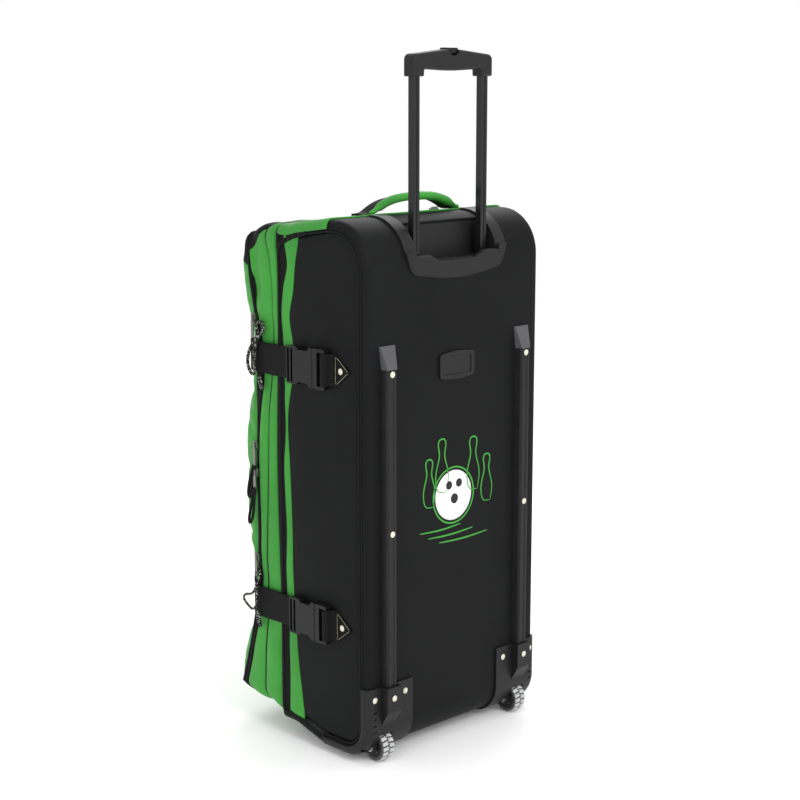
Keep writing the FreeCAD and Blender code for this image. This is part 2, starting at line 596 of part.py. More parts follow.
def strap_band(z):
    """Webbing from the socket half, forwards and round the front to the hinge side."""
    rear, far = BUCKLE_Y[0] + 12, POCKET_Y - 4.2
    side = HALF_W + TAPE_OUT + 0.2
    lines = []
    for t in (0, WEB - 0.2):
        hw, front, r = side + t, WAIST_Y - 0.3 - t, FLAP_EDGE_R + t
        lines.append([(hw, rear), (hw, front, r), (-hw + 1.5, front, r - 0.3), (-hw + 1.5, far)])
    return prism(lines[1] + lines[0][::-1], "z", z - STRAP_W / 2, z + STRAP_W / 2)


def make_straps():
    tabs, studs = [], []
    for name, z in zip(("lower", "upper"), STRAP_ZS):
        female, male, prongs = buckle_halves(z)
        save(f"buckle_socket_{name}", female)
        save(f"buckle_plug_{name}", male)
        save(f"prong_{name}_a", prongs[0])
        save(f"prong_{name}_b", prongs[1])
        save(f"front_strap_{name}", strap_band(z))
        half = STRAP_W / 2
        tab = prism([(58, z - half), (84, z - half), (117, z, 2), (84, z + half), (58, z + half)],
                    "x", HALF_W + SEAM, HALF_W + SEAM + WEB)
        tab = tab.cut(rod((HALF_W - 5, 97, z), (1, 0, 0), 2.05, 20))
        tabs.append(tab)
        shank = rod((HALF_W, 97, z), (1, 0, 0), 2.0, WEB + 0.2)
        dome = Part.makeSphere(7.0, V(HALF_W + WEB + 2.1 - 7.0, 97, z)).common(
            rod((HALF_W + WEB + 0.1, 97, z), (1, 0, 0), 4.8, 4))
        studs.append(joined([shank, dome]))
    save("anchor_straps", *tabs)
    save("strap_rivets", *studs)


# ---- carry handle
def make_handle():
    """Padded band with a round roll along its rear edge, arched between two sewn tabs."""
    foot_z = TOP_Z - 1
    line = Part.Arc(V(-HANDLE_X, 0, foot_z), V(0, 0, foot_z + HANDLE_RISE), V(HANDLE_X, 0, foot_z)).toShape()
    path = Part.Wire([line])
    start, way = line.valueAt(line.FirstParameter), line.tangentAt(line.FirstParameter)
    across = V(0, 1, 0)
    up = way.cross(across)
    corners = [start + across * a + up * b for a, b in ((-18, -2.5), (4, -2.5), (4, 2.5), (-18, 2.5))]
    band = path.makePipeShell([Part.makePolygon(corners + corners[:1])], True, True)
    circle = Part.Wire(Part.makeCircle(6.5, start + across * 11, way))
    roll = path.makePipeShell([circle], True, True)
    for shape, name in ((band, "handle_band"), (roll, "handle_roll")):
        shape.translate(V(0, HANDLE_Y, 0))
        save(name, shape.Solids[0].cut(box((-300, 300), (-100, 200), (0, foot_z + HANDLE_LIFT))))
    tab = prism([
        (HANDLE_X - 18, HANDLE_Y - 20, 3), (HANDLE_X + 22, HANDLE_Y - 20, 6), (HANDLE_X + 22, HANDLE_Y + 17, 6),
        (HANDLE_X - 18, HANDLE_Y + 17, 3),
    ], "z", TOP_Z - 20, TOP_Z + 2.5).cut(prism(case_outline(-SEAM, -40), "x", 0, 200))
    save("handle_tabs", tab, mirrored(tab))


def main():
    os.makedirs("parts", exist_ok=True)
    heads, holes = back_rivets()
    save("back_rivets", *heads)
    make_panels(holes)
    make_boards()
    make_tubes()
    make_grip()
    make_tray()
    make_rails(holes)
    make_guards(holes)
    make_wheels()
    make_trim()
    make_leaves()
    make_zips()
    make_sliders()
    make_straps()
    make_handle()


main()
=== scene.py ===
"""Looks of the wheeled ball bag: sewn panels, padded lid and flap, zips, webbing, handle, wheels.

Every piece is in metres in the frame's own axes: +Z up, +Y towards the pull handle and wheels,
+X towards the buckles.
"""

import contextlib
import math

import bmesh
import bpy
import numpy as np
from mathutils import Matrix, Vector, noise
from mathutils.bvhtree import BVHTree


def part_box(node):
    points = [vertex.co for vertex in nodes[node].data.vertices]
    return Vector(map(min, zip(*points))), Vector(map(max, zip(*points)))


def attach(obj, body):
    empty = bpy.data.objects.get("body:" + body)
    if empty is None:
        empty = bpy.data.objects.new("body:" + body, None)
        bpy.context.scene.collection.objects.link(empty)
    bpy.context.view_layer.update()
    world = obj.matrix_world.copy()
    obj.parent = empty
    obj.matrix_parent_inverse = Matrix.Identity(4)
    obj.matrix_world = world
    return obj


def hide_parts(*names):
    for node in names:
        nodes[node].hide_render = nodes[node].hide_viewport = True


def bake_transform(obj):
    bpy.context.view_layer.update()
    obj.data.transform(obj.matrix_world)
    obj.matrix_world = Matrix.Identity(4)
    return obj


bl_info = {
    "name": "Wheeled ball bag",
    "version": (1, 0, 0),
    "blender": (4, 5, 0),
    "location": "View3D > Sidebar > Ball bag",
    "description": "Builds the sewn, webbing and moulded looks of a wheeled ball bag round its frame",
    "category": "Object",
}

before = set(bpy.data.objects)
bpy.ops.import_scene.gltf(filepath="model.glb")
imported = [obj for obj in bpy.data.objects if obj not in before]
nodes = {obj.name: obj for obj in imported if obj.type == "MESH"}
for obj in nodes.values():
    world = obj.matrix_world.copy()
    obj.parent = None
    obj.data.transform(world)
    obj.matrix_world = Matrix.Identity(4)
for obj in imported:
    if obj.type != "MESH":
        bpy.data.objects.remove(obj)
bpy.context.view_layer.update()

MM = 0.001

# ---- places that the frame gives
BACK_LOW, BACK_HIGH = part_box("back_panel")
HALF_W = BACK_HIGH.x
BACK_Y = BACK_HIGH.y
TOP_Z = BACK_HIGH.z
BASE_Z = BACK_LOW.z
WRAP_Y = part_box("top_panel")[1].y
ZIP_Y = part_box("top_panel")[0].y
HEEL_SEAM_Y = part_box("bottom_panel")[1].y
LEAF_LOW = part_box("lid_gusset")[0].z
LEAF_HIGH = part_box("lid_gusset")[1].z
POCKET_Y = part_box("pocket_flap")[1].y
LEAF_HALF_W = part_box("pocket_flap")[1].x
STRAP_BOXES = [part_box("front_strap_lower"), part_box("front_strap_upper")]
STRAP_ZS = [(low.z + high.z) / 2 for low, high in STRAP_BOXES]

# ---- shape of the case, as it is sewn
RECESS_X = 0.090                      # half-width of the gap in the back panel for the pull handle's tray
RECESS_Y = 0.117                      # front edge of that gap
HEEL_R, TOP_R, EDGE_R = 0.050, 0.070, 0.010
FLAT_Y, TOE_Y = -0.018, 0.050         # the base rises between these two, and is level past them
BASE_RISE, TOP_DROP = 0.27, 0.013
PIPE_R = 0.0022
SEAM_INSET = EDGE_R + 4 * PIPE_R
HINGE_SIDE_EDGE = -0.008              # front edge of the dark side panel on the hinge side
HINGE_YS = (-0.025, -0.0520)
FLAP_HINGE_YS = (-0.0965, -0.1120)
BAND_HALF_W = LEAF_HALF_W - 0.001
LEAF_R = 0.016                        # corners of the lid and the flap, seen from the front
ZIP_CORNER_R = 0.015
ZIP_END_X = 0.170                     # the main zip stops this far towards the hinge side
TOOTH_PITCH = 0.0026
SELVEDGE = 0.0003                     # the webbing is this much narrower than the frame's, on each edge
STRAP_FRONT_Y = -0.1275
STITCH_HALF = 0.0205                  # half the height of the contrast stitching on the anchor webs


def flow(points):
    """Smooth curve through (z, value) points in metres, held level past its two ends."""
    zs, values = np.array(sorted(points), float).T
    slopes = np.gradient(values, zs)

    def at(z):
        z = np.clip(z, zs[0], zs[-1])
        i = np.clip(np.searchsorted(zs, z) - 1, 0, len(zs) - 2)
        span = zs[i + 1] - zs[i]
        t = (z - zs[i]) / span
        rise = values[i] * (1 + 2 * t) * (1 - t) ** 2 + values[i + 1] * t * t * (3 - 2 * t)
        return rise + span * (slopes[i] * t * (1 - t) ** 2 + slopes[i + 1] * t * t * (t - 1))

    return at


# seams on the buckle side, as y for each height
black_edge = flow([
    (0.045, 0.000), (0.085, -0.006), (0.134, -0.013), (0.199, -0.019), (0.270, -0.024), (0.345, -0.024),
    (0.442, -0.028), (0.536, -0.0305), (0.600, -0.019), (0.641, -0.018), (0.682, -0.026), (0.726, -0.016),
    (0.761, -0.012), (0.803, -0.003),
])
zip_rear = flow([
    (0.036, -0.032), (0.130, -0.030), (0.244, -0.038), (0.344, -0.033), (0.440, -0.038), (0.520, -0.031),
    (0.575, -0.038), (0.638, -0.041), (0.700, -0.041), (0.735, -0.034), (0.760, -0.025), (0.801, -0.034),
])
zip_front = flow([
    (0.056, -0.052), (0.240, -0.052), (0.339, -0.055), (0.437, -0.057), (0.540, -0.055), (0.637, -0.052),
    (0.708, -0.049), (0.770, -0.050), (0.792, -0.053),
])
gusset_seam = flow([
    (0.044, -0.094), (0.250, -0.086), (0.433, -0.078), (0.571, -0.071), (0.700, -0.062), (0.765, -0.066),
    (0.806, -0.078),
])
pocket_line = flow([
    (0.048, -0.1480), (0.086, -0.1365), (0.141, -0.1225), (0.213, -0.108), (0.300, -0.103), (0.453, -0.104),
    (0.569, -0.098), (0.640, -0.098), (0.680, -0.104), (0.748, -0.118), (0.790, -0.122),
])
zip_gap = flow([
    (0.048, 0.0066), (0.100, 0.0066), (0.141, 0.0056), (0.213, 0.0046), (0.330, 0.0052), (0.453, 0.0034),
    (0.520, 0.0050), (0.569, 0.0078), (0.620, 0.0050), (0.663, 0.0040), (0.748, 0.0026),
])
flap_front = flow([
    (0.040, -0.158), (0.068, -0.166), (0.120, -0.160), (0.180, -0.130), (0.213, -0.126), (0.247, -0.130),
    (0.325, -0.148), (0.410, -0.151), (0.500, -0.148), (0.580, -0.130), (0.613, -0.126), (0.647, -0.130),
    (0.715, -0.1470), (0.760, -0.1520), (0.815, -0.1530),
])


def sag(x, y):
    """How far the soft top hangs lower towards the hinge side and the front."""
    return 0.008 * ease(-x, -0.13, 0.10) * ease(-y, -0.045, 0.030)


def ease(value, low, high):
    """0 up to low, 1 past high, smooth between."""
    t = min(1.0, max(0.0, (value - low) / (high - low)))
    return t * t * (3 - 2 * t)


def strap_grip(z):
    """1 under a strap, falling to 0 a hand's width away."""
    away = min(abs(z - strap) for strap in STRAP_ZS)
    return 1 - ease(away, 0.026, 0.085)


def folds(x, y, z, size, seed):
    """Soft noise from -1 to 1 for cloth that lies in folds of about this size; seed picks which noise."""
    return noise.noise(Vector((x / size + seed, y / size - seed, z / size + 2 * seed)))


# ---- user settings
class BagColours(bpy.types.PropertyGroup):
    """Colours of the bag's cloths and plastics"""
    bright: bpy.props.FloatVectorProperty(
        name="Bright cloth", description="Nylon of the lid, flap, top and handle", subtype="COLOR",
        size=3, min=0, max=1, default=(0.037, 0.265, 0.032))
    dark: bpy.props.FloatVectorProperty(
        name="Dark cloth", description="Coated cloth of the back and sides", subtype="COLOR",
        size=3, min=0, max=1, default=(0.0062, 0.0064, 0.0069))
    moulded: bpy.props.FloatVectorProperty(
        name="Moulded parts", description="Plastic of the tray, grip, rails and guards", subtype="COLOR",
        size=3, min=0, max=1, default=(0.0092, 0.0092, 0.0098))
    stitch: bpy.props.FloatVectorProperty(
        name="Stitching", description="Contrast thread on the webbing ends", subtype="COLOR",
        size=3, min=0, max=1, default=(0.62, 0.58, 0.30))


class BagSizes(bpy.types.PropertyGroup):
    """Sizes that only change the looks"""
    cloth: bpy.props.FloatProperty(
        name="Cloth", description="Thickness of the padded panels", unit="LENGTH", default=0.003)
    webbing: bpy.props.FloatProperty(
        name="Webbing", description="Thickness of the straps", unit="LENGTH", default=0.0018)
    weave: bpy.props.FloatProperty(
        name="Weave", description="Thread spacing of the cloth", unit="LENGTH", default=0.0011)
    puff: bpy.props.FloatProperty(
        name="Puff", description="How far the lid's padding stands out between its seams",
        unit="LENGTH", default=0.0045)
    sim_cap: bpy.props.FloatProperty(
        name="Swell", description="How far the filled flap may swell from its cut shape",
        unit="LENGTH", default=0.012)


# ---- mesh building
def add_object(name, data):
    piece = bpy.data.objects.new(name, data)
    bpy.context.scene.collection.objects.link(piece)
    return piece


@contextlib.contextmanager
def edited(mesh):
    """The mesh as a bmesh to edit, written back at the end."""
    body = bmesh.new()
    body.from_mesh(mesh)
    yield body
    body.to_mesh(mesh)
    body.free()


def lattice(name, points, closed=False, skip=None):
    """Quads through rows x columns of points, with a UV map in metres.
    closed joins the last row to the first, and skip(row, column) leaves a quad out."""
    points = np.asarray(points, float)
    rows, columns = points.shape[:2]
    across = np.linalg.norm(np.diff(points, axis=1), axis=2).mean(axis=0)
    along = np.linalg.norm(np.diff(points, axis=0), axis=2).mean(axis=1)
    us = np.concatenate([[0], np.cumsum(across)])
    vs = np.concatenate([[0], np.cumsum(along)])
    if closed:
        vs = np.append(vs, vs[-1] + np.linalg.norm(points[0] - points[-1], axis=1).mean())
    faces, corners = [], []
    for r in range(rows if closed else rows - 1):
        for c in range(columns - 1):
            if skip is not None and skip(r, c):
                continue
            after = (r + 1) % rows
            faces.append((r * columns + c, r * columns + c + 1, after * columns + c + 1, after * columns + c))
            corners += [(us[c], vs[r]), (us[c + 1], vs[r]), (us[c + 1], vs[r + 1]), (us[c], vs[r + 1])]
    mesh = bpy.data.meshes.new(name)
    mesh.from_pydata([tuple(p) for p in points.reshape(-1, 3)], [], faces)
    layer = mesh.uv_layers.new(name="cloth")
    layer.data.foreach_set("uv", np.array(corners, np.float32).ravel())
    with edited(mesh) as body:
        bmesh.ops.delete(body, geom=[v for v in body.verts if not v.link_faces], context="VERTS")
    mesh.shade_smooth()
    return add_object(name, mesh)


def coons(low, high, left, right):
    """Points of a patch between four edges. low and high run left to right, left and right low to high."""
    low, high, left, right = (np.asarray(edge, float) for edge in (low, high, left, right))
    u = np.linspace(0, 1, len(low))[None, :, None]
    v = np.linspace(0, 1, len(left))[:, None, None]
    sides = (1 - u) * left[:, None] + u * right[:, None]
    ends = (1 - v) * low[None] + v * high[None]
    flat = (1 - u) * (1 - v) * low[0] + u * (1 - v) * low[-1] + (1 - u) * v * high[0] + u * v * high[-1]
    return sides + ends - flat


def resampled(path, count):
    """A polyline as count points, evenly spaced along it."""
    path = np.asarray(path, float)
    run = np.concatenate([[0], np.cumsum(np.linalg.norm(np.diff(path, axis=0), axis=1))])
    spots = np.linspace(0, run[-1], count)
    return np.stack([np.interp(spots, run, path[:, k]) for k in range(path.shape[1])], axis=1)


def arc(centre, radius, start, stop, count):
    """Points of an arc in a plane, angles in degrees."""
    angles = np.radians(np.linspace(start, stop, count))
    return np.stack([centre[0] + radius * np.cos(angles), centre[1] + radius * np.sin(angles)], axis=1)


def faced(piece, outward):
    """Turns a shell's faces so that the first one looks along outward, and the rest with it."""
    mesh = piece.data
    if mesh.polygons[0].normal.dot(Vector(outward)) < 0:
        mesh.flip_normals()
    return piece


def thick(piece, thickness, offset=-1.0):
    """Gives a shell its thickness, inwards from its faces, or half each way where offset is 0."""
    solid = piece.modifiers.new("cloth thickness", "SOLIDIFY")
    solid.thickness = thickness
    solid.offset = offset
    solid.use_even_offset = False
    return piece


def smooth(piece, levels=1):
    round_off = piece.modifiers.new("rounding", "SUBSURF")
    round_off.levels = levels
    round_off.render_levels = levels
    return piece


def applied(piece):
    """The piece with its modifiers made into mesh."""
    graph = bpy.context.evaluated_depsgraph_get()
    mesh = bpy.data.meshes.new_from_object(piece.evaluated_get(graph))
    mesh.name = piece.name
    piece.modifiers.clear()
    if piece.type == "MESH":
        piece.data = mesh
        return piece
    name = piece.name
    bpy.data.objects.remove(piece)
    return add_object(name, mesh)


def line_curve(name, points, radius, cyclic=False, order=0):
    """A tube along points: straight runs, or a smooth spline where order is 3 or more."""
    curve = bpy.data.curves.new(name, "CURVE")
    curve.dimensions = "3D"
    curve.bevel_depth = radius
    curve.bevel_resolution = 3
    curve.use_fill_caps = True
    spline = curve.splines.new("NURBS" if order else "POLY")
    spline.points.add(len(points) - 1)
    for point, place in zip(spline.points, points):
        point.co = (*place, 1.0)
    if order:
        spline.order_u = order
        spline.use_endpoint_u = not cyclic
        spline.resolution_u = 6
    spline.use_cyclic_u = cyclic
    return add_object(name, curve)


def settle(piece, body, material, slot, *replaced):
    """Gives a piece its material and its body, and hides the frame nodes it stands for. The slot argument is
    not used.
    """
    for one in material if isinstance(material, (list, tuple)) else [material]:
        piece.data.materials.append(one)
    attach(piece, body)
    if replaced:
        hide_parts(*replaced)
    return piece


# ---- materials
def empty_material(name):
    """A new material and its node tree, with no nodes in it yet."""
    material = bpy.data.materials.new(name)
    material.use_nodes = True
    material.node_tree.nodes.clear()
    return material, material.node_tree


def cloth_material(name, colour, weave, roughness, sheen, shine, mottle, crease):
    """Woven cloth: thread lattice in the bump, soft creases, uneven dye and a dusty sheen."""
    material, tree = empty_material(name)
    new, link = tree.nodes.new, tree.links.new

    output = new("ShaderNodeOutputMaterial")
    output.label = "surface"
    shader = new("ShaderNodeBsdfPrincipled")
    shader.label = "cloth"
    shader.inputs["Sheen Weight"].default_value = sheen
    shader.inputs["Sheen Roughness"].default_value = 0.45
    shader.inputs["Specular IOR Level"].default_value = shine
    place = new("ShaderNodeTexCoord")
    place.label = "place on the bag"

    dye = new("ShaderNodeTexNoise")
    dye.label = "uneven dye"
    dye.inputs["Scale"].default_value = 9.0
    dye.inputs["Detail"].default_value = 3.0
    tint = new("ShaderNodeValToRGB")
    tint.label = "dye from deep to bright"
    tint.color_ramp.elements[0].position = 0.30
    tint.color_ramp.elements[1].position = 0.72
    tint.color_ramp.elements[0].color = (*[c * (1 - mottle) for c in colour], 1)
    tint.color_ramp.elements[1].color = (*[min(1.0, c * (1 + mottle)) for c in colour], 1)
    link(place.outputs["Object"], dye.inputs["Vector"])
    link(dye.outputs["Fac"], tint.inputs["Fac"])

    threads = []
    for axis, label in enumerate("XYZ"):
        wave = new("ShaderNodeTexWave")
        wave.label = "threads across " + label
        wave.wave_type = "BANDS"
        wave.bands_direction = label
        wave.wave_profile = "SIN"
        wave.inputs["Scale"].default_value = 0.31 / weave
        wave.inputs["Distortion"].default_value = 0.6
        wave.inputs["Detail"].default_value = 1.0
        wave.inputs["Detail Scale"].default_value = 0.4
        link(place.outputs["Object"], wave.inputs["Vector"])
        threads.append(wave)
    over = new("ShaderNodeMath")
    over.label = "over and under"
    over.operation = "MAXIMUM"
    both = new("ShaderNodeMath")
    both.label = "all three ways"
    both.operation = "ADD"
    link(threads[0].outputs["Fac"], over.inputs[0])
    link(threads[1].outputs["Fac"], over.inputs[1])
    link(over.outputs[0], both.inputs[0])
    link(threads[2].outputs["Fac"], both.inputs[1])
    weave_bump = new("ShaderNodeBump")
    weave_bump.label = "thread relief"
    weave_bump.inputs["Strength"].default_value = 0.25
    weave_bump.inputs["Distance"].default_value = 0.12 * MM
    link(both.outputs[0], weave_bump.inputs["Height"])

    creases = new("ShaderNodeTexNoise")
    creases.label = "small creases"
    creases.inputs["Scale"].default_value = 26.0
    creases.inputs["Detail"].default_value = 4.0
    creases.inputs["Distortion"].default_value = 0.8
    crease_bump = new("ShaderNodeBump")
    crease_bump.label = "crease relief"
    crease_bump.inputs["Strength"].default_value = crease
    crease_bump.inputs["Distance"].default_value = 2.0 * MM
    link(place.outputs["Object"], creases.inputs["Vector"])
    link(creases.outputs["Fac"], crease_bump.inputs["Height"])
    link(weave_bump.outputs["Normal"], crease_bump.inputs["Normal"])

    gloss = new("ShaderNodeMapRange")
    gloss.label = "threads shine less in the gaps"
    gloss.inputs["To Min"].default_value = roughness + 0.08
    gloss.inputs["To Max"].default_value = roughness - 0.05
    link(both.outputs[0], gloss.inputs["Value"])

    link(tint.outputs["Color"], shader.inputs["Base Color"])
    link(gloss.outputs["Result"], shader.inputs["Roughness"])
    link(crease_bump.outputs["Normal"], shader.inputs["Normal"])
    link(shader.outputs["BSDF"], output.inputs["Surface"])

    groups = {"dye": [dye, tint], "weave": [*threads, over, both, weave_bump, gloss],
              "creases": [creases, crease_bump]}
    arrange(tree, groups, place, shader, output)
    return material


def arrange(tree, groups, place, shader, output):
    """Lays the nodes out in labelled frames, left to right."""
    place.location = (-1400, 0)
    for row, (label, members) in enumerate(groups.items()):
        box = tree.nodes.new("NodeFrame")
        box.label = label
        for column, node in enumerate(members):
            node.parent = box
            node.location = (-1150 + 190 * column, 420 - 420 * row)
    shader.location = (350, 0)
    output.location = (650, 0)


def plastic_material(name, colour, roughness, grain, relief, wear):
    """Moulded plastic: fine leather grain, slight gloss changes and paler patches at random."""
    material, tree = empty_material(name)
    new, link = tree.nodes.new, tree.links.new

    output = new("ShaderNodeOutputMaterial")
    output.label = "surface"
    shader = new("ShaderNodeBsdfPrincipled")
    shader.label = "plastic"
    shader.inputs["Specular IOR Level"].default_value = 0.24
    place = new("ShaderNodeTexCoord")
    place.label = "place on the bag"

    grains = new("ShaderNodeTexVoronoi")
    grains.label = "leather grain"
    grains.feature = "SMOOTH_F1"
    grains.inputs["Scale"].default_value = 1 / grain
    grain_bump = new("ShaderNodeBump")
    grain_bump.label = "grain relief"
    grain_bump.inputs["Strength"].default_value = relief
    grain_bump.inputs["Distance"].default_value = 0.15 * MM
    link(place.outputs["Object"], grains.inputs["Vector"])
    link(grains.outputs["Distance"], grain_bump.inputs["Height"])

    handling = new("ShaderNodeTexNoise")
    handling.label = "handling marks"
    handling.inputs["Scale"].default_value = 35.0
    handling.inputs["Detail"].default_value = 5.0
    gloss = new("ShaderNodeMapRange")
    gloss.label = "gloss change"
    gloss.inputs["To Min"].default_value = roughness - 0.06
    gloss.inputs["To Max"].default_value = roughness + 0.08
    tint = new("ShaderNodeValToRGB")
    tint.label = "colour change"
    tint.color_ramp.elements[0].position = 0.35
    tint.color_ramp.elements[1].position = 0.75
    tint.color_ramp.elements[0].color = (*colour, 1)
    tint.color_ramp.elements[1].color = (*[min(1.0, c * (1 + wear)) for c in colour], 1)
    link(place.outputs["Object"], handling.inputs["Vector"])
    link(handling.outputs["Fac"], gloss.inputs["Value"])
    link(handling.outputs["Fac"], tint.inputs["Fac"])

    link(tint.outputs["Color"], shader.inputs["Base Color"])
    link(gloss.outputs["Result"], shader.inputs["Roughness"])
    link(grain_bump.outputs["Normal"], shader.inputs["Normal"])
    link(shader.outputs["BSDF"], output.inputs["Surface"])
    arrange(tree, {"grain": [grains, grain_bump], "handling": [handling, gloss, tint]}, place, shader, output)
    return material


def metal_material(name, colour, roughness, streak, metallic):
    """Drawn or plated metal: fine lengthwise streaks over a satin gloss."""
    material, tree = empty_material(name)
    new, link = tree.nodes.new, tree.links.new

    output = new("ShaderNodeOutputMaterial")
    output.label = "surface"
    shader = new("ShaderNodeBsdfPrincipled")
    shader.label = "metal"
    shader.inputs["Metallic"].default_value = metallic
    shader.inputs["Specular IOR Level"].default_value = 0.35
    place = new("ShaderNodeTexCoord")
    place.label = "place on the bag"

    stretch = new("ShaderNodeMapping")
    stretch.label = "drawn along Z"
    stretch.inputs["Scale"].default_value = (1.0, 1.0, 0.02)
    streaks = new("ShaderNodeTexNoise")
    streaks.label = "drawing streaks"
    streaks.inputs["Scale"].default_value = streak
    streaks.inputs["Detail"].default_value = 4.0
    gloss = new("ShaderNodeMapRange")
    gloss.label = "streaked gloss"
    gloss.inputs["To Min"].default_value = roughness - 0.05
    gloss.inputs["To Max"].default_value = roughness + 0.10
    tint = new("ShaderNodeValToRGB")
    tint.label = "streaked colour"
    tint.color_ramp.elements[0].color = (*[c * 0.85 for c in colour], 1)
    tint.color_ramp.elements[1].color = (*[min(1.0, c * 1.15) for c in colour], 1)
    link(place.outputs["Object"], stretch.inputs["Vector"])
    link(stretch.outputs["Vector"], streaks.inputs["Vector"])
    link(streaks.outputs["Fac"], gloss.inputs["Value"])
    link(streaks.outputs["Fac"], tint.inputs["Fac"])

    link(tint.outputs["Color"], shader.inputs["Base Color"])
    link(gloss.outputs["Result"], shader.inputs["Roughness"])
    link(shader.outputs["BSDF"], output.inputs["Surface"])
    arrange(tree, {"drawn surface": [stretch, streaks, gloss, tint]}, place, shader, output)
    return material


def webbing_material(name, colour, rib, fleck):
    """Woven webbing or cord: ribs, a lattice of threads, and pale flecks where the cord has them."""
    material, tree = empty_material(name)
    new, link = tree.nodes.new, tree.links.new

    output = new("ShaderNodeOutputMaterial")
    output.label = "surface"
    shader = new("ShaderNodeBsdfPrincipled")
    shader.label = "webbing"
    shader.inputs["Specular IOR Level"].default_value = 0.10
    place = new("ShaderNodeTexCoord")
    place.label = "place on the bag"

    ribs = new("ShaderNodeTexWave")
    ribs.label = "weft ribs"
    ribs.bands_direction = "DIAGONAL"
    ribs.inputs["Scale"].default_value = 0.31 / rib
    ribs.inputs["Distortion"].default_value = 0.4
    threads = new("ShaderNodeTexVoronoi")
    threads.label = "warp threads"
    threads.inputs["Scale"].default_value = 1 / rib
    relief = new("ShaderNodeMath")
    relief.label = "ribs and threads"
    relief.operation = "ADD"
    bump = new("ShaderNodeBump")
    bump.label = "weave relief"
    bump.inputs["Strength"].default_value = 0.35
    bump.inputs["Distance"].default_value = 0.2 * MM
    link(place.outputs["Object"], ribs.inputs["Vector"])
    link(place.outputs["Object"], threads.inputs["Vector"])
    link(ribs.outputs["Fac"], relief.inputs[0])
    link(threads.outputs["Distance"], relief.inputs[1])
    link(relief.outputs[0], bump.inputs["Height"])

    spots = new("ShaderNodeTexVoronoi")
    spots.label = "pale flecks"
    spots.inputs["Scale"].default_value = 420.0
    tint = new("ShaderNodeValToRGB")
    tint.label = "thread colours"
    tint.color_ramp.elements[0].position = 0.27
    tint.color_ramp.elements[1].position = 0.36
    tint.color_ramp.elements[0].color = (*fleck, 1)
    tint.color_ramp.elements[1].color = (*colour, 1)
    link(place.outputs["Object"], spots.inputs["Vector"])
    link(spots.outputs["Distance"], tint.inputs["Fac"])
    gloss = new("ShaderNodeMapRange")
    gloss.label = "thread gloss"
    gloss.inputs["To Min"].default_value = 0.72
    gloss.inputs["To Max"].default_value = 0.55
    link(ribs.outputs["Fac"], gloss.inputs["Value"])

    link(tint.outputs["Color"], shader.inputs["Base Color"])
    link(gloss.outputs["Result"], shader.inputs["Roughness"])
    link(bump.outputs["Normal"], shader.inputs["Normal"])
    link(shader.outputs["BSDF"], output.inputs["Surface"])
    groups = {"weave": [ribs, threads, relief, bump, gloss], "flecks": [spots, tint]}
    arrange(tree, groups, place, shader, output)
    return material


def tyre_material(name, colour):
    """Pale, slightly milky polyurethane with scuffs, and painted shade in the tread grooves."""
    material, tree = empty_material(name)
    new, link = tree.nodes.new, tree.links.new

    output = new("ShaderNodeOutputMaterial")
    output.label = "surface"
    shader = new("ShaderNodeBsdfPrincipled")
    shader.label = "polyurethane"
    shader.inputs["Subsurface Weight"].default_value = 0.35
    shader.inputs["Subsurface Radius"].default_value = (0.004, 0.004, 0.004)
    shader.inputs["Subsurface Scale"].default_value = 1.0
    place = new("ShaderNodeTexCoord")
    place.label = "place on the bag"
    scuffs = new("ShaderNodeTexNoise")
    scuffs.label = "scuffs"
    scuffs.inputs["Scale"].default_value = 180.0
    scuffs.inputs["Detail"].default_value = 4.0
    tint = new("ShaderNodeValToRGB")
    tint.label = "clean to dusty"
    tint.color_ramp.elements[0].color = (*[c * 0.55 for c in colour], 1)
    tint.color_ramp.elements[1].color = (*colour, 1)
    gloss = new("ShaderNodeMapRange")
    gloss.label = "rubbed gloss"
    gloss.inputs["To Min"].default_value = 0.30
    gloss.inputs["To Max"].default_value = 0.55
    grooves = new("ShaderNodeAttribute")
    grooves.label = "depth of the tread"
    grooves.attribute_name = "tread"
    # painted shade: the deeper a spot lies in a tread groove (the tread attribute), the more its colour is
    # mixed towards dark grey
    deep = new("ShaderNodeMix")
    deep.label = "painted shade in the grooves"
    deep.data_type = "RGBA"
    deep.inputs["B"].default_value = (0.045, 0.045, 0.047, 1)
    link(place.outputs["Object"], scuffs.inputs["Vector"])
    link(scuffs.outputs["Fac"], tint.inputs["Fac"])
    link(scuffs.outputs["Fac"], gloss.inputs["Value"])
    link(grooves.outputs["Fac"], deep.inputs["Factor"])
    link(tint.outputs["Color"], deep.inputs["A"])
    link(deep.outputs["Result"], shader.inputs["Base Color"])
    link(gloss.outputs["Result"], shader.inputs["Roughness"])
    link(shader.outputs["BSDF"], output.inputs["Surface"])
    arrange(tree, {"scuffs": [scuffs, tint, gloss], "tread": [grooves, deep]}, place, shader, output)
    return material


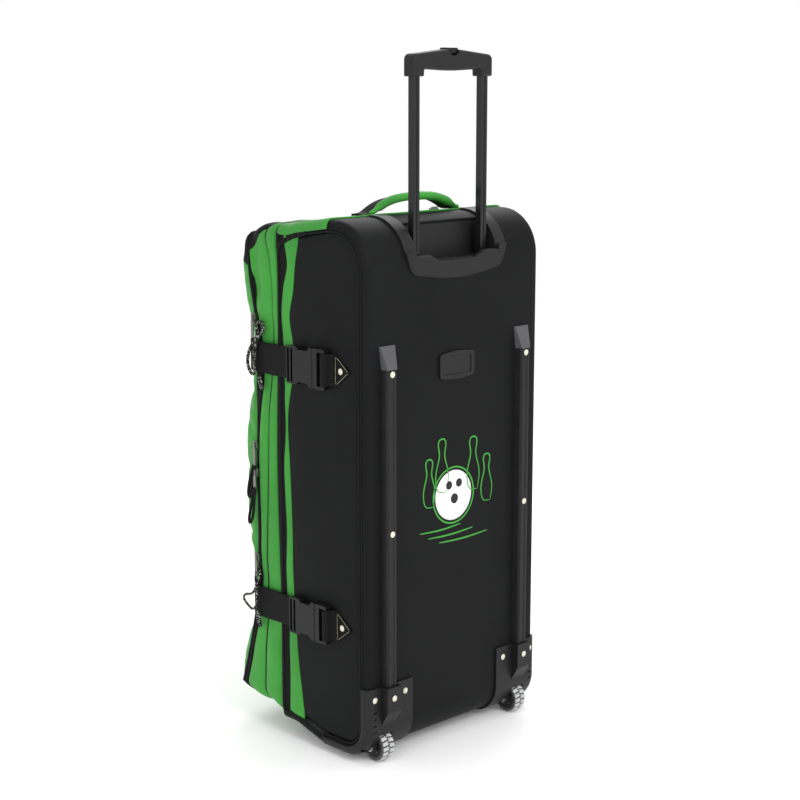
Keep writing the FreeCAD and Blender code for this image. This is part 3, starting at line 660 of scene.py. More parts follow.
def coated(key):
    """One of the bag's materials, made the first time it is asked for."""
    name = "bag " + key
    if name in bpy.data.materials:
        return bpy.data.materials[name]
    colours, sizes = bpy.context.scene.bag_colours, bpy.context.scene.bag_sizes
    bright, dark, moulded = list(colours.bright), list(colours.dark), list(colours.moulded)
    recipes = {
        "black cloth": (cloth_material, dark, sizes.weave, 0.60, 0.0, 0.09, 0.10, 0.05),
        "green cloth": (cloth_material, bright, sizes.weave, 0.50, 0.02, 0.22, 0.15, 0.22),
        "lining": (cloth_material, [0.020, 0.020, 0.022], sizes.weave * 2, 0.80, 0.02, 0.2, 0.15, 0.10),
        "moulded": (plastic_material, moulded, 0.46, 0.0013, 0.10, 0.25),
        "smooth plastic": (plastic_material, [c * 0.62 for c in moulded], 0.30, 0.0009, 0.04, 0.2),
        "rail": (plastic_material, [c * 0.95 for c in moulded], 0.40, 0.0016, 0.06, 0.3),
        "rail cap": (plastic_material, [c * 8.0 for c in moulded], 0.48, 0.0012, 0.10, 0.2),
        "board": (plastic_material, [0.18, 0.18, 0.19], 0.6, 0.002, 0.05, 0.1),
        "rivet": (plastic_material, [0.62, 0.60, 0.50], 0.30, 0.002, 0.03, 0.1),
        "hub": (plastic_material, [0.012, 0.012, 0.013], 0.40, 0.001, 0.06, 0.2),
        "print white": (plastic_material, [0.80, 0.80, 0.80], 0.45, 0.0008, 0.05, 0.05),
        "print green": (plastic_material, [c * 1.1 for c in bright], 0.45, 0.0008, 0.05, 0.1),
        "stitch": (plastic_material, list(colours.stitch), 0.6, 0.0006, 0.1, 0.1),
        "tube": (metal_material, [0.0080, 0.0080, 0.0086], 0.20, 900.0, 0.05),
        "steel": (metal_material, [0.55, 0.55, 0.56], 0.30, 500.0, 1.0),
        "slider metal": (metal_material, [0.22, 0.21, 0.20], 0.30, 500.0, 1.0),
        "webbing": (webbing_material, [0.0058, 0.0058, 0.0062], 0.0016, [0.0075, 0.0075, 0.0080]),
        "flecked cord": (webbing_material, [0.008, 0.008, 0.008], 0.0012, [0.55, 0.56, 0.50]),
        "zip tape": (webbing_material, [0.0050, 0.0050, 0.0054], 0.0012, [0.0065, 0.0065, 0.0070]),
        "cord": (webbing_material, [0.008, 0.008, 0.008], 0.0012, [0.010, 0.010, 0.010]),
        "coil": (plastic_material, [0.011, 0.011, 0.012], 0.32, 0.0006, 0.03, 0.2),
        "thread": (plastic_material, [0.016, 0.016, 0.017], 0.6, 0.0006, 0.1, 0.1),
        "tyre": (tyre_material, [0.60, 0.61, 0.60]),
    }
    maker, *settings = recipes[key]
    return maker(name, *settings)


# ---- case outline
def base_at(y):
    return BASE_Z + (TOE_Y - np.clip(y, FLAT_Y, TOE_Y)) * BASE_RISE


def top_at(y):
    return TOP_Z - TOP_DROP * (WRAP_Y - np.clip(y, FLAT_Y, WRAP_Y)) / (WRAP_Y - FLAT_Y)


def rear_profile(inset):
    """Side view of the back panel from its heel seam to its top seam, taken in by inset, as (y, z)."""
    heel = arc((BACK_Y - HEEL_R, BASE_Z + HEEL_R), HEEL_R - inset, -90, 0, 13)
    top = arc((BACK_Y - TOP_R, TOP_Z - TOP_R), TOP_R - inset, 0, 90, 19)
    back = np.linspace(heel[-1], top[0], 44)[1:-1]
    wrap = np.linspace(top[-1], (WRAP_Y, TOP_Z - inset), 4)[1:]
    return np.concatenate([heel, back, top, wrap])


def edge_rounds():
    """(x, inset) of the rounded long edge, from the seam to the flat of the panel."""
    turned_in = [(HALF_W - 0.0020, EDGE_R + 0.0015)]
    round_off = [(HALF_W - EDGE_R + EDGE_R * math.cos(a), EDGE_R - EDGE_R * math.sin(a))
                 for a in np.radians([0, 15, 32, 50, 70, 90])]
    return turned_in + round_off


def sewn_wrap(name, profile, flats, ripple, skip=None):
    """A panel that wraps round both long edges of the case. profile gives its side view for an inset,
    and ripple is how far the cloth waves in and out along Y."""
    rounds = edge_rounds()
    stations = rounds + [(x, 0.0) for x in flats] + [(-x, inset) for x, inset in reversed(rounds)]
    columns = [[(x, y, z) for y, z in profile(inset)] for x, inset in stations]
    points = np.array(columns).transpose(1, 0, 2)
    middle_y = profile(0.0).mean(axis=0)[0]
    for place in points.reshape(-1, 3):
        x, y, z = place
        if abs(x) <= HALF_W - 0.002 and abs(y - middle_y) > 0.02:
            place[1] += ripple * folds(x, y, z * 0.6, 0.11, 3.1) * np.sign(y - middle_y)
    return lattice(name, points, skip=skip)


class BAG_OT_back(bpy.types.Operator):
    """Sew the back panel that wraps the heel and the rear top corner"""
    bl_idname = "bag.back"
    bl_label = "Back panel"

    def execute(self, context):
        flats = [0.165, 0.148, 0.130, 0.110, RECESS_X, 0.070, 0.050, 0.030, 0.010]
        flats = flats + [-x for x in reversed(flats)]
        inner = len(edge_rounds())
        open_columns = range(inner + flats.index(RECESS_X), inner + flats.index(-RECESS_X))
        side_view = rear_profile(0.0)
        corner_z = TOP_Z - TOP_R - 0.002

        def recess(row, column):
            y, z = side_view[row:row + 2].mean(axis=0)
            return column in open_columns and z > corner_z and y > RECESS_Y - 0.001

        panel = sewn_wrap("back_cover", rear_profile, flats, 0.0007, recess)
        faced(panel, (1, 0, 0))
        thick(smooth(panel), context.scene.bag_sizes.cloth)
        settle(panel, "case", coated("black cloth"), "black_fabric", "back_panel")
        return {"FINISHED"}


class BAG_OT_sides(bpy.types.Operator):
    """Sew the two side panels, their coloured wedges and the double piping"""
    bl_idname = "bag.sides"
    bl_label = "Side panels and piping"

    def execute(self, context):
        for sign, hand in ((1, "left"), (-1, "right")):
            self.panel(context, sign, hand)
            self.wedge(context, sign, hand)
            for number, inset in enumerate((EDGE_R + PIPE_R, EDGE_R + 3 * PIPE_R)):
                self.piping(sign, f"piping_{hand}_{number + 1}", inset)
        self.binding()
        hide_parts("edge_piping")
        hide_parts("side_bands")
        return {"FINISHED"}

    def edge(self, sign, count):
        """Front edge of the dark panel from the base to the top; the hinge side's is straight."""
        zs = np.linspace(base_at(0.0) + SEAM_INSET, top_at(0.0) - SEAM_INSET, count)
        ys = black_edge(zs) if sign > 0 else np.full(count, HINGE_SIDE_EDGE)
        return np.stack([ys, zs], axis=1)

    def panel(self, context, sign, hand):
        rows, columns = 61, 25
        front = self.edge(sign, rows)
        rear = resampled(rear_profile(SEAM_INSET), rows)
        low_ys = np.linspace(front[0][0], rear[0][0], columns)
        high_ys = np.linspace(front[-1][0], rear[-1][0], columns)
        low = np.stack([low_ys, base_at(low_ys) + SEAM_INSET], axis=1)
        high = np.stack([high_ys, top_at(high_ys) - SEAM_INSET], axis=1)
        flat = coons(low, high, front, rear)
        points = np.zeros((rows, columns, 3))
        points[..., 1:] = flat
        for r in range(rows):
            for c in range(columns):
                u, v = c / (columns - 1), r / (rows - 1)
                y, z = flat[r, c]
                inside = 0 < u < 1 and 0 < v < 1
                crown = (math.sin(math.pi * u) * math.sin(math.pi * v)) ** 0.35 if inside else 0
                dent = 0.0016 * folds(0.3 * sign, y, z * 0.7, 0.085, 7.7)
                points[r, c, 0] = sign * (HALF_W - 0.0028 + 0.0030 * crown + dent * crown)
        piece = lattice("side_cover_" + hand, points)
        faced(piece, (sign, 0, 0))
        thick(smooth(piece), context.scene.bag_sizes.cloth)
        settle(piece, "case", coated("black cloth"), "black_fabric", "side_panel_" + hand)

    def wedge(self, context, sign, hand):
        """The coloured strip between the dark panel and the main zip."""
        rows, columns = 81, 9
        low, high = base_at(-0.04) + 0.004, top_at(-0.04) - 0.004
        points = np.zeros((rows, columns, 3))
        for r, z in enumerate(np.linspace(low, high, rows)):
            rear = float(black_edge(z)) if sign > 0 else HINGE_SIDE_EDGE
            front = float(zip_rear(z)) - 0.004 if sign > 0 else -0.040
            rear += 0.002
            for c in range(columns):
                t = c / (columns - 1)
                y = rear + (front - rear) * t
                puff = 0.0030 * math.sin(math.pi * t) ** 0.7 * (1 - strap_grip(z))
                puff += 0.0012 * folds(0.1, y * 2, z, 0.05, 1.3) * math.sin(math.pi * t)
                if sign < 0:
                    puff *= 1 - ease(-y, 0.018, 0.025)
                points[r, c] = (sign * (HALF_W - 0.0022 + puff - 0.0008 * t), y, z)
        piece = lattice("side_wedge_" + hand, points)
        faced(piece, (sign, 0, 0))
        thick(smooth(piece), 0.002)
        settle(piece, "case", coated("green cloth"), "green_fabric")

    def binding(self):
        """Folded tape from the top of the main zip to the piping, on the buckle side."""
        line = resampled(rounded([(-0.0430, 0.7915), (-0.0380, 0.7960), (-0.0260, 0.8025), (-0.0090, 0.8092),
                                  (0.0080, 0.8125), (0.0230, 0.8160)], 2), 40)
        points = []
        for number, (y, z) in enumerate(line):
            crease = 0.0007 * math.sin(number * 0.9) + 0.0006 * folds(0, y, z, 0.008, 3.3)
            row = []
            for s in (-1, -0.7, 0, 0.7, 1):
                row.append((HALF_W + 0.0018 - 0.0014 * s * s + crease, y - 0.0012 * s, z + 0.0036 * s))
            points.append(row)
        fold = lattice("corner_binding", points)
        faced(fold, (1, 0, 0))
        thick(smooth(fold), 0.0012)
        settle(fold, "case", coated("zip tape"), "zip_tape")

    def piping(self, sign, name, inset):
        start = [(y, base_at(y) + inset) for y in (TOE_Y, 0.075)]
        end = [(y, top_at(y) - inset) for y in (0.040, 0.015, -0.010, -0.026)]
        if sign < 0:
            end = end[:-1] + [(-0.022, top_at(-0.022) - inset)]
        route = np.concatenate([start, rear_profile(inset), end])
        points = [(sign * (HALF_W - PIPE_R / 2), y, z) for y, z in route]
        piece = line_curve(name, points, PIPE_R * 0.95)
        settle(piece, "case", coated("black cloth"), "black_fabric")


class BAG_OT_ends(bpy.types.Operator):
    """Sew the top and the bottom of the case"""
    bl_idname = "bag.ends"
    bl_label = "Top and bottom"

    def execute(self, context):
        flats = list(np.linspace(0.165, -0.165, 17))

        def top(inset):
            ys = np.linspace(WRAP_Y - 0.0005, ZIP_Y + 0.001, 16)
            return np.stack([ys, top_at(ys) - inset], axis=1)

        def bottom(inset):
            ys = np.linspace(ZIP_Y + 0.001, HEEL_SEAM_Y - 0.0005, 22)
            return np.stack([ys, base_at(ys) + inset], axis=1)

        for name, profile, way, node, cloth, slot in (
                ("top_cover", top, 1, "top_panel", "green cloth", "green_fabric"),
                ("bottom_cover", bottom, -1, "bottom_panel", "black cloth", "black_fabric")):
            piece = sewn_wrap(name, profile, flats, 0.0)
            mesh = piece.data
            for vertex in mesh.vertices:
                inside = 1 - ease(abs(vertex.co.x), 0.13, 0.175)
                lift = 0.0016 * folds(vertex.co.x, vertex.co.y, 0.2, 0.07, 5.2)
                vertex.co.z += inside * lift
                if way > 0:
                    vertex.co.z -= sag(vertex.co.x, vertex.co.y)
                    vertex.co.z -= 0.0026 * ease(vertex.co.x, 0.100, 0.125) * ease(-vertex.co.y, 0.012, 0.022)
            faced(piece, (1, 0, way))
            thick(smooth(piece), context.scene.bag_sizes.cloth)
            settle(piece, "case", coated(cloth), slot, node)
        return {"FINISHED"}


# ---- lid and flap
def leaf_top(y):
    """Height of the lid's top, which rolls down towards the front."""
    forward = max(0.0, -0.060 - y)
    return LEAF_HIGH - 0.002 - 0.015 * (forward / 0.068) ** 1.6


def leaf_base(y):
    return LEAF_LOW + 0.001 + 0.014 * ease(-y, 0.045, 0.080)


def leaf_ring(y_of):
    """Front view of a leaf as (x, y, z, nx, nz), starting low on the buckle side and running up and round.
    y_of gives y for a height and for how much the spot belongs to the buckle side."""
    spots = []
    half_w, radius = BAND_HALF_W, LEAF_R
    low_z, high_z = LEAF_LOW, LEAF_HIGH
    side_zs = np.linspace(low_z + radius, high_z - radius, 70)
    for z in side_zs:
        spots.append((half_w, z, 1, 0, 1.0))
    for a in np.radians([18, 36, 54, 72]):
        spots.append((half_w - radius + radius * math.cos(a), high_z - radius + radius * math.sin(a),
                      math.cos(a), math.sin(a), 1 - a / (math.pi / 2)))
    for x in np.linspace(half_w - radius, radius - half_w, 30):
        spots.append((x, high_z, 0, 1, 0.0))
    for a in np.radians([18, 36, 54, 72]):
        spots.append((radius - half_w - radius * math.sin(a), high_z - radius + radius * math.cos(a),
                      -math.sin(a), math.cos(a), 0.0))
    for z in side_zs[::-1]:
        spots.append((-half_w, z, -1, 0, 0.0))
    for a in np.radians([18, 36, 54, 72]):
        spots.append((radius - half_w - radius * math.cos(a), low_z + radius - radius * math.sin(a),
                      -math.cos(a), -math.sin(a), 0.0))
    for x in np.linspace(radius - half_w, half_w - radius, 30):
        spots.append((x, low_z, 0, -1, 0.0))
    for a in np.radians([18, 36, 54, 72]):
        spots.append((half_w - radius + radius * math.sin(a), low_z + radius - radius * math.cos(a),
                      math.sin(a), -math.cos(a), a / (math.pi / 2)))
    ring = []
    for x, z, nx, nz, share in spots:
        y = y_of(z, share)
        reach = (z - low_z) / (high_z - low_z)
        z = leaf_base(y) + reach * (leaf_top(y) - leaf_base(y))
        ring.append((x, y, z - sag(x, y) * ease(reach, 0.90, 1.0), nx, nz))
    return ring


def rolled_in(depth, distance, reach):
    """How far an edge rounded over reach lies in, at a distance from its end where it lies in by depth."""
    return depth * (1 - math.sqrt(max(0.0, 1 - max(0.0, 1 - distance / reach) ** 2)))


def slider_groove(y, z):
    """Depth of the dent that pocket slider 1 runs in where the zip curves away from its straight way."""
    beside = 1 - ease(abs(y + 0.103), 0.008, 0.014)
    return 0.0055 * beside * ease(z, 0.690, 0.715) * (1 - ease(z, 0.800, 0.806))


def between(share, buckle_side, elsewhere):
    return elsewhere + (buckle_side - elsewhere) * share


# side view of the edge between the coloured cloth and the dark cloth on the lid's front top corner, as (y, z)
DARK_CORNER = [
    (-0.052, 0.8300), (-0.070, 0.8190), (-0.084, 0.8117), (-0.0966, 0.7987), (-0.1075, 0.7868),
    (-0.1200, 0.7770), (-0.1244, 0.7531), (-0.190, 0.7800),
]


def dark_corner(piece):
    """Cuts the piece along the dark corner's edge on the buckle side and gives the corner its own cloth."""
    margin = 0.012
    with edited(piece.data) as body:
        for (y0, z0), (y1, z1) in zip(DARK_CORNER[:-1], DARK_CORNER[1:]):
            near = [f for f in body.faces if f.calc_center_median().x > 0.10
                    and min(y0, y1) - margin < f.calc_center_median().y < max(y0, y1) + margin
                    and min(z0, z1) - margin < f.calc_center_median().z < max(z0, z1) + margin]
            parts = near + list({e for f in near for e in f.edges}) + list({v for f in near for v in f.verts})
            bmesh.ops.bisect_plane(
                body, geom=parts, dist=1e-5, plane_co=(0, y0, z0), plane_no=(0, z1 - z0, y0 - y1))
        for face in body.faces:
            middle = face.calc_center_median()
            face.material_index = int(middle.x > 0.11 and in_dark_corner(middle.y, middle.z))
    piece.data.shade_smooth()


def in_dark_corner(y, z):
    """Whether a spot of the side view lies above the dark corner's edge."""
    if y > DARK_CORNER[0][0]:
        return False
    tip = len(DARK_CORNER) - 2
    ys, zs = zip(*DARK_CORNER[:tip + 1])
    if y >= ys[-1]:
        return z > np.interp(-y, [-v for v in ys], zs)
    return z > np.interp(-y, [-DARK_CORNER[tip][0], -DARK_CORNER[tip + 1][0]],
                         [DARK_CORNER[tip][1], DARK_CORNER[tip + 1][1]])


class BAG_OT_lid(bpy.types.Operator):
    """Sew the lid's padded side band and the thread line of its seam"""
    bl_idname = "bag.lid"
    bl_label = "Lid"

    def execute(self, context):
        puff = context.scene.bag_sizes.puff
        steps = [0, 0.06, 0.15, 0.25, 0.34, 0.41, 0.45, 0.47, 0.49, 0.53, 0.61, 0.72, 0.83, 0.92, 0.97, 1.0]
        seam_at = 0.47
        seam_depths = {0: 0.0012, 1.0: 0.0012, seam_at: 0.0030}

        def y_at(t):
            def y_of(z, share):
                rear = between(share, float(zip_front(z)), -0.0475)
                seam = between(share, float(gusset_seam(z)), -0.076)
                front = between(share, float(pocket_line(z) + zip_gap(z)), POCKET_Y + 0.0015)
                if t < seam_at:
                    return rear + (seam - rear) * t / seam_at
                return seam + (front - seam) * (t - seam_at) / (1 - seam_at)
            return y_of

        columns = []
        for t in steps:
            part = t / seam_at if t < seam_at else (t - seam_at) / (1 - seam_at)
            swell = math.sin(math.pi * min(1, part)) ** 0.6
            column = []
            for x, y, z, nx, nz in leaf_ring(y_at(t)):
                grip = strap_grip(z) if abs(nx) > 0.5 else 0
                padding = puff * (1 - 0.75 * grip)
                waves = 0.0026 * (1 - 0.6 * grip) * folds(x, y * 1.6, z, 0.06, 2.2)
                top_folds = 0.0030 * ease(z, 0.70, 0.77) * folds(x, y * 1.2, z * 0.8, 0.022, 9.6)
                gathers = 0.0020 * grip * folds(0.0, y * 0.6, z, 0.016, 5.9)
                out = swell * (padding + waves + top_folds + gathers)
                out -= 0.0030 * grip + seam_depths.get(t, 0)
                if nx > 0.5:
                    out -= slider_groove(y, z)
                column.append((x + nx * out, y, z + nz * out))
            columns.append(column)
        points = np.array(columns).transpose(1, 0, 2)
        band = lattice("lid_band", points, closed=True)
        faced(band, (1, 0, 0))
        band = applied(smooth(band, 2))
        dark_corner(band)
        thick(band, context.scene.bag_sizes.cloth)
        settle(band, "lid", [coated("green cloth"), coated("black cloth")], "green_fabric", "lid_gusset")
        self.seam(y_at(seam_at))
        return {"FINISHED"}

    def seam(self, y_of):
        """The dark thread line in the channel between the band's two halves."""
        route = []
        for x, y, z, nx, nz in leaf_ring(y_of):
            out = 0.0005 - 0.0032 * (strap_grip(z) if abs(nx) > 0.5 else 0)
            route.append((x + nx * out, y, z + nz * out))
        seam = line_curve("lid_seam", route, 0.0007, cyclic=True)
        settle(seam, "lid", coated("thread"), "green_fabric")


class BAG_OT_flap(bpy.types.Operator):
    """Sew and fill the pocket flap on the front"""
    bl_idname = "bag.flap"
    bl_label = "Pocket flap"

    def execute(self, context):
        sizes = context.scene.bag_sizes
        flap = self.cut_shape()
        flap = self.filled(flap, sizes.sim_cap)
        self.open_rear(flap)
        dark_corner(flap)
        thick(flap, sizes.cloth)
        settle(flap, "flap", [coated("green cloth"), coated("black cloth")], "green_fabric", "pocket_flap")
        return {"FINISHED"}

    def cut_shape(self):
        """Closed form of the flap: rings in plan, stacked from the base to the top."""
        half_w = LEAF_HALF_W - 0.004
        round_r = 0.024
        turns = np.radians([0, 30, 60, 90])
        low, high = leaf_base(-0.140) + 0.001, LEAF_HIGH - 0.010
        levels = np.concatenate([low + np.array([0, 0.003, 0.010, 0.022]),
                                 np.linspace(low + 0.040, high - 0.080, 44),
                                 high - np.array([0.066, 0.050, 0.034, 0.020, 0.009, 0.002, 0])])
        rings = []
        for z in levels:
            from_top, from_base = high - z, z - low
            shut = rolled_in(0.040, from_top, 0.062)
            shut += rolled_in(0.016, from_base, 0.020)
            narrow = rolled_in(0.014, min(from_top, from_base), 0.016)
            front = float(flap_front(z)) + shut
            rear = max(float(pocket_line(z) - zip_gap(z)), front + 0.004)
            plain = POCKET_Y - 0.0015
            hw = half_w - narrow
            r = min(round_r, 0.9 * abs(front - rear))
            ring = [(hw, rear), (hw, (rear + front + r) / 2)]
            ring += [(hw - r + r * math.cos(a), front + r - r * math.sin(a)) for a in turns]
            ring += [(x, front) for x in np.linspace(hw - r, r - hw, 16)[1:-1]]
            r = min(round_r, 0.9 * abs(front - plain))
            ring += [(r - hw - r * math.sin(a), front + r - r * math.cos(a)) for a in turns]
            ring += [(-hw, (plain + front + r) / 2), (-hw, plain)]
            ring += [(x, between(ease(x, 0.10, 0.18), rear, plain)) for x in np.linspace(-hw, hw, 14)[1:-1]]
            rings.append([(x, y, z) for x, y in ring])
        points = np.array(rings)
        count = points.shape[1]
        mesh = bpy.data.meshes.new("flap_cover")
        faces = []
        for r in range(len(levels) - 1):
            for c in range(count):
                on = (c + 1) % count
                faces.append((r * count + c, r * count + on, (r + 1) * count + on, (r + 1) * count + c))
        faces.append(tuple(range(count))[::-1])
        faces.append(tuple(range((len(levels) - 1) * count, len(levels) * count)))
        mesh.from_pydata([tuple(p) for p in points.reshape(-1, 3)], [], faces)
        with edited(mesh) as body:
            bmesh.ops.recalc_face_normals(body, faces=body.faces)
        return add_object("flap_cover", mesh)

    def filled(self, flap, cap):
        """Cloth simulation under pressure, held at the zip seam and under the straps."""
        remesh = flap.modifiers.new("even quads", "REMESH")
        remesh.mode = "VOXEL"
        remesh.voxel_size = 0.0062
        flap = applied(flap)
        start = np.array([v.co for v in flap.data.vertices])
        held = flap.vertex_groups.new(name="held")
        for vertex in flap.data.vertices:
            x, y, z = vertex.co
            at_zip = 1 - ease((float(pocket_line(z)) if x > 0 else POCKET_Y) - y, 0.004, 0.022)
            under = 1 - ease(min(abs(z - strap) for strap in STRAP_ZS), 0.022, 0.036)
            held.add([vertex.index], max(at_zip, under), "REPLACE")
        cloth = flap.modifiers.new("filling", "CLOTH")
        settings = cloth.settings
        settings.quality = 6
        settings.mass = 0.3
        settings.tension_stiffness = 18
        settings.compression_stiffness = 12
        settings.shear_stiffness = 6
        settings.bending_stiffness = 0.4
        settings.use_pressure = True
        settings.uniform_pressure_force = 4.0
        settings.shrink_min = -0.025      # cut a little large, so that it wrinkles
        settings.vertex_group_mass = "held"
        settings.effector_weights.gravity = 0.0
        cloth.collision_settings.use_collision = False
        scene, last_step = bpy.context.scene, 20
        for step in range(1, last_step + 1):
            scene.frame_set(step)
        flap = applied(flap)
        scene.frame_set(1)
        now = np.array([v.co for v in flap.data.vertices])
        move = now - start
        length = np.linalg.norm(move, axis=1, keepdims=True)
        move *= np.minimum(1.0, cap / np.maximum(length, 1e-9))
        flap.data.vertices.foreach_set("co", (start + move).ravel())
        flap.data.update()
        smooth(flap)
        return applied(flap)

    def open_rear(self, flap):
        """Takes away the closed form's rear face, so that the flap is a pouch."""
        with edited(flap.data) as body:
            rear = []
            for face in body.faces:
                middle = face.calc_center_median()
                line = between(ease(middle.x, 0.10, 0.18), float(pocket_line(middle.z)), POCKET_Y) - 0.0075
                if middle.y > line and face.normal.y > 0.4:
                    rear.append(face)
            bmesh.ops.delete(body, geom=rear, context="FACES")


# ---- zips
def zip_route(spacing):
    """Route of the main zip as (x, z, nx, nz, share): over the top, down the buckle side, along the base.
    share is 1 on the buckle side."""
    half_w, radius, reach = HALF_W, ZIP_CORNER_R, ZIP_END_X
    low, high = float(base_at(ZIP_Y)), float(top_at(ZIP_Y))
    corner_top = arc((half_w - radius, high - radius), radius, 90, 0, 9)
    corner_low = arc((half_w - radius, low + radius), radius, 0, -90, 9)
    line = np.concatenate([[(-reach, high)], corner_top, corner_low, [(-reach, low)]])
    length = np.linalg.norm(np.diff(line, axis=0), axis=1).sum()
    line = resampled(line, int(length / spacing))
    way = np.gradient(line, axis=0)
    way /= np.linalg.norm(way, axis=1, keepdims=True)
    share = [ease(x, half_w - radius, half_w - radius / 3) for x in line[:, 0]]
    return [(x, z, -dz, dx, s) for (x, z), (dx, dz), s in zip(line, way, share)]


def coil(name, spots):
    """A row of zip teeth, one small bevelled block at each (place, along, across, out) in metres."""
    box = [(sx, sy, sz) for sx in (-1, 1) for sy in (-1, 1) for sz in (-1, 1)]
    sides = [(0, 1, 3, 2), (4, 6, 7, 5), (0, 4, 5, 1), (2, 3, 7, 6), (0, 2, 6, 4), (1, 5, 7, 3)]
    corners, faces = [], []
    for place, along, across, out in spots:
        start = len(corners)
        for sx, sy, sz in box:
            slim = 0.75 if sz > 0 else 1.0
            corners.append(tuple(place + along * sx * slim + across * sy * slim + out * sz))
        faces += [tuple(start + i for i in side) for side in sides]
    mesh = bpy.data.meshes.new(name)
    mesh.from_pydata(corners, [], faces)
    with edited(mesh) as body:
        bmesh.ops.recalc_face_normals(body, faces=body.faces)
    return add_object(name, mesh)


class BAG_OT_zips(bpy.types.Operator):
    """Sew in the main zip and the pocket zip with their coils, and the cloth hinge"""
    bl_idname = "bag.zips"
    bl_label = "Zips and hinge"

    def execute(self, context):
        self.main_half("main_tape_case", "case", 1, "zip_tape_case")
        self.main_half("main_tape_lid", "lid", -1, "zip_tape_lid")
        self.pocket_half("pocket_tape_lid", "lid", 1, "pocket_zip_tape")
        self.pocket_half("pocket_tape_flap", "flap", -1)
        self.hinge(context)
        return {"FINISHED"}

    def main_half(self, name, body, side, node):
        """side is 1 behind the coil and -1 in front of it."""
        edge = zip_rear if side > 0 else zip_front
        route = zip_route(0.007)
        parting = ZIP_Y - 0.00075 + side * 0.0003
        points = []
        for x, z, nx, nz, share in route:
            outer = between(share, float(edge(z)) + side * 0.002, ZIP_Y + side * 0.011)
            row = []
            for t, lift in ((0, -0.0034), (0.10, -0.0026), (0.35, -0.0010), (0.75, -0.0006), (1.0, -0.0002)):
                row.append((x + nx * lift, outer + (parting - outer) * t, z + nz * lift))
            points.append(row)
        tape = lattice(name, points)
        faced(tape, (route[0][2], 0, route[0][3]))
        thick(tape, 0.0008)
        settle(tape, body, coated("zip tape"), "zip_tape", node)
        spots = []
        for x, z, nx, nz, share in zip_route(TOOTH_PITCH)[1 if side > 0 else 0:]:
            out = Vector((nx, 0, nz))
            along = Vector((-nz, 0, nx))
            place = Vector((x, ZIP_Y - 0.00075 + side * 0.0014, z)) + out * 0.0004
            place += along * (0.0006 * side)
            spots.append((place, along * 0.0006, Vector((0, 0.00105, 0)), out * 0.0008))
        teeth = coil("main_coil_" + body, spots)
        settle(teeth, body, coated("coil"), "zip_tape")

    def pocket_half(self, name, body, side, *node):
        def y_of(z, share):
            return between(share, float(pocket_line(z)), POCKET_Y)

        tuck = 0.0085 if body == "flap" else 0.0045
        points, spots = [], []
        for x, y, z, nx, nz in leaf_ring(y_of):
            gap = float(zip_gap(z)) if nx > 0.5 else 0.0015
            section = ((gap + 0.0060, -tuck), (gap + 0.0030, -0.0030), (gap, -0.0002), (gap * 0.5, 0.0004),
                       (0.0004, 0.0002))
            points.append([(x + nx * lift, y + side * reach, z + nz * lift) for reach, lift in section])
        tape = lattice(name, points, closed=True)
        faced(tape, (1, 0, 0))
        thick(tape, 0.0008)
        settle(tape, body, coated("zip tape"), "zip_tape", *node)
        for z in np.arange(0.062, 0.770, TOOTH_PITCH):
            grip = strap_grip(z)
            place = Vector((LEAF_HALF_W - 0.0004 - 0.0022 * grip, float(pocket_line(z)) + side * 0.0012,
                            z + side * 0.0006))
            spots.append((place, Vector((0, 0, 0.0006)), Vector((0, 0.0010, 0)), Vector((0.0008, 0, 0))))
        teeth = coil("pocket_coil_" + body, spots)
        settle(teeth, body, coated("coil"), "zip_tape")

    def hinge(self, context):
        """Cloth along the side opposite the buckles, which the lid and the flap turn on."""
        lid_hinge = self.hinge_piece(
            "hinge_cloth", (0.052, 0.806), HINGE_YS,
            lambda y: HALF_W + 0.0008 + 0.0020 * ease(-y, 0.040, 0.051))
        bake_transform(lid_hinge)
        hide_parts("hinge_strip")
        flap_hinge = self.hinge_piece(
            "flap_hinge_cloth", (LEAF_LOW + 0.030, LEAF_HIGH - 0.035), FLAP_HINGE_YS,
            lambda y: LEAF_HALF_W - 0.0002 - 0.0038 * ease(-y, 0.1045, 0.1105))
        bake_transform(flap_hinge)

    def hinge_piece(self, name, zs, ys, reach):
        """A strip of cloth on the hinge side; reach gives its distance from the middle plane for each y."""
        wave = 0.0005
        points = [[(-(reach(y) + wave * folds(1.0, y, z, 0.03, 4.4)), y, z) for y in np.linspace(*ys, 20)]
                  for z in np.linspace(*zs, 60)]
        strip = lattice(name, points)
        faced(strip, (-1, 0, 0))
        thick(strip, 0.0010)
        strip = applied(strip)
        strip.data.materials.append(coated("black cloth"))
        return strip


# ---- webbing
def rounded(path, times=3):
    """Cuts the corners of an open path, keeping its ends."""
    path = np.asarray(path, float)
    for _ in range(times):
        cut = [path[0]]
        for a, b in zip(path[:-1], path[1:]):
            cut += [a * 0.75 + b * 0.25, a * 0.25 + b * 0.75]
        path = np.array(cut + [path[-1]])
    return path


def ribbon(name, path, across, thickness):
    """A flat strap whose middle follows path. across holds the half-width vector at each of its points."""
    path = np.asarray(path, float)
    across = np.broadcast_to(np.asarray(across, float), path.shape)
    steps = [-1, -0.9, -0.45, 0, 0.45, 0.9, 1]
    points = [[p + a * s for s in steps] for p, a in zip(path, across)]
    strap = lattice(name, points)
    thick(strap, thickness, 0.0)
    return strap


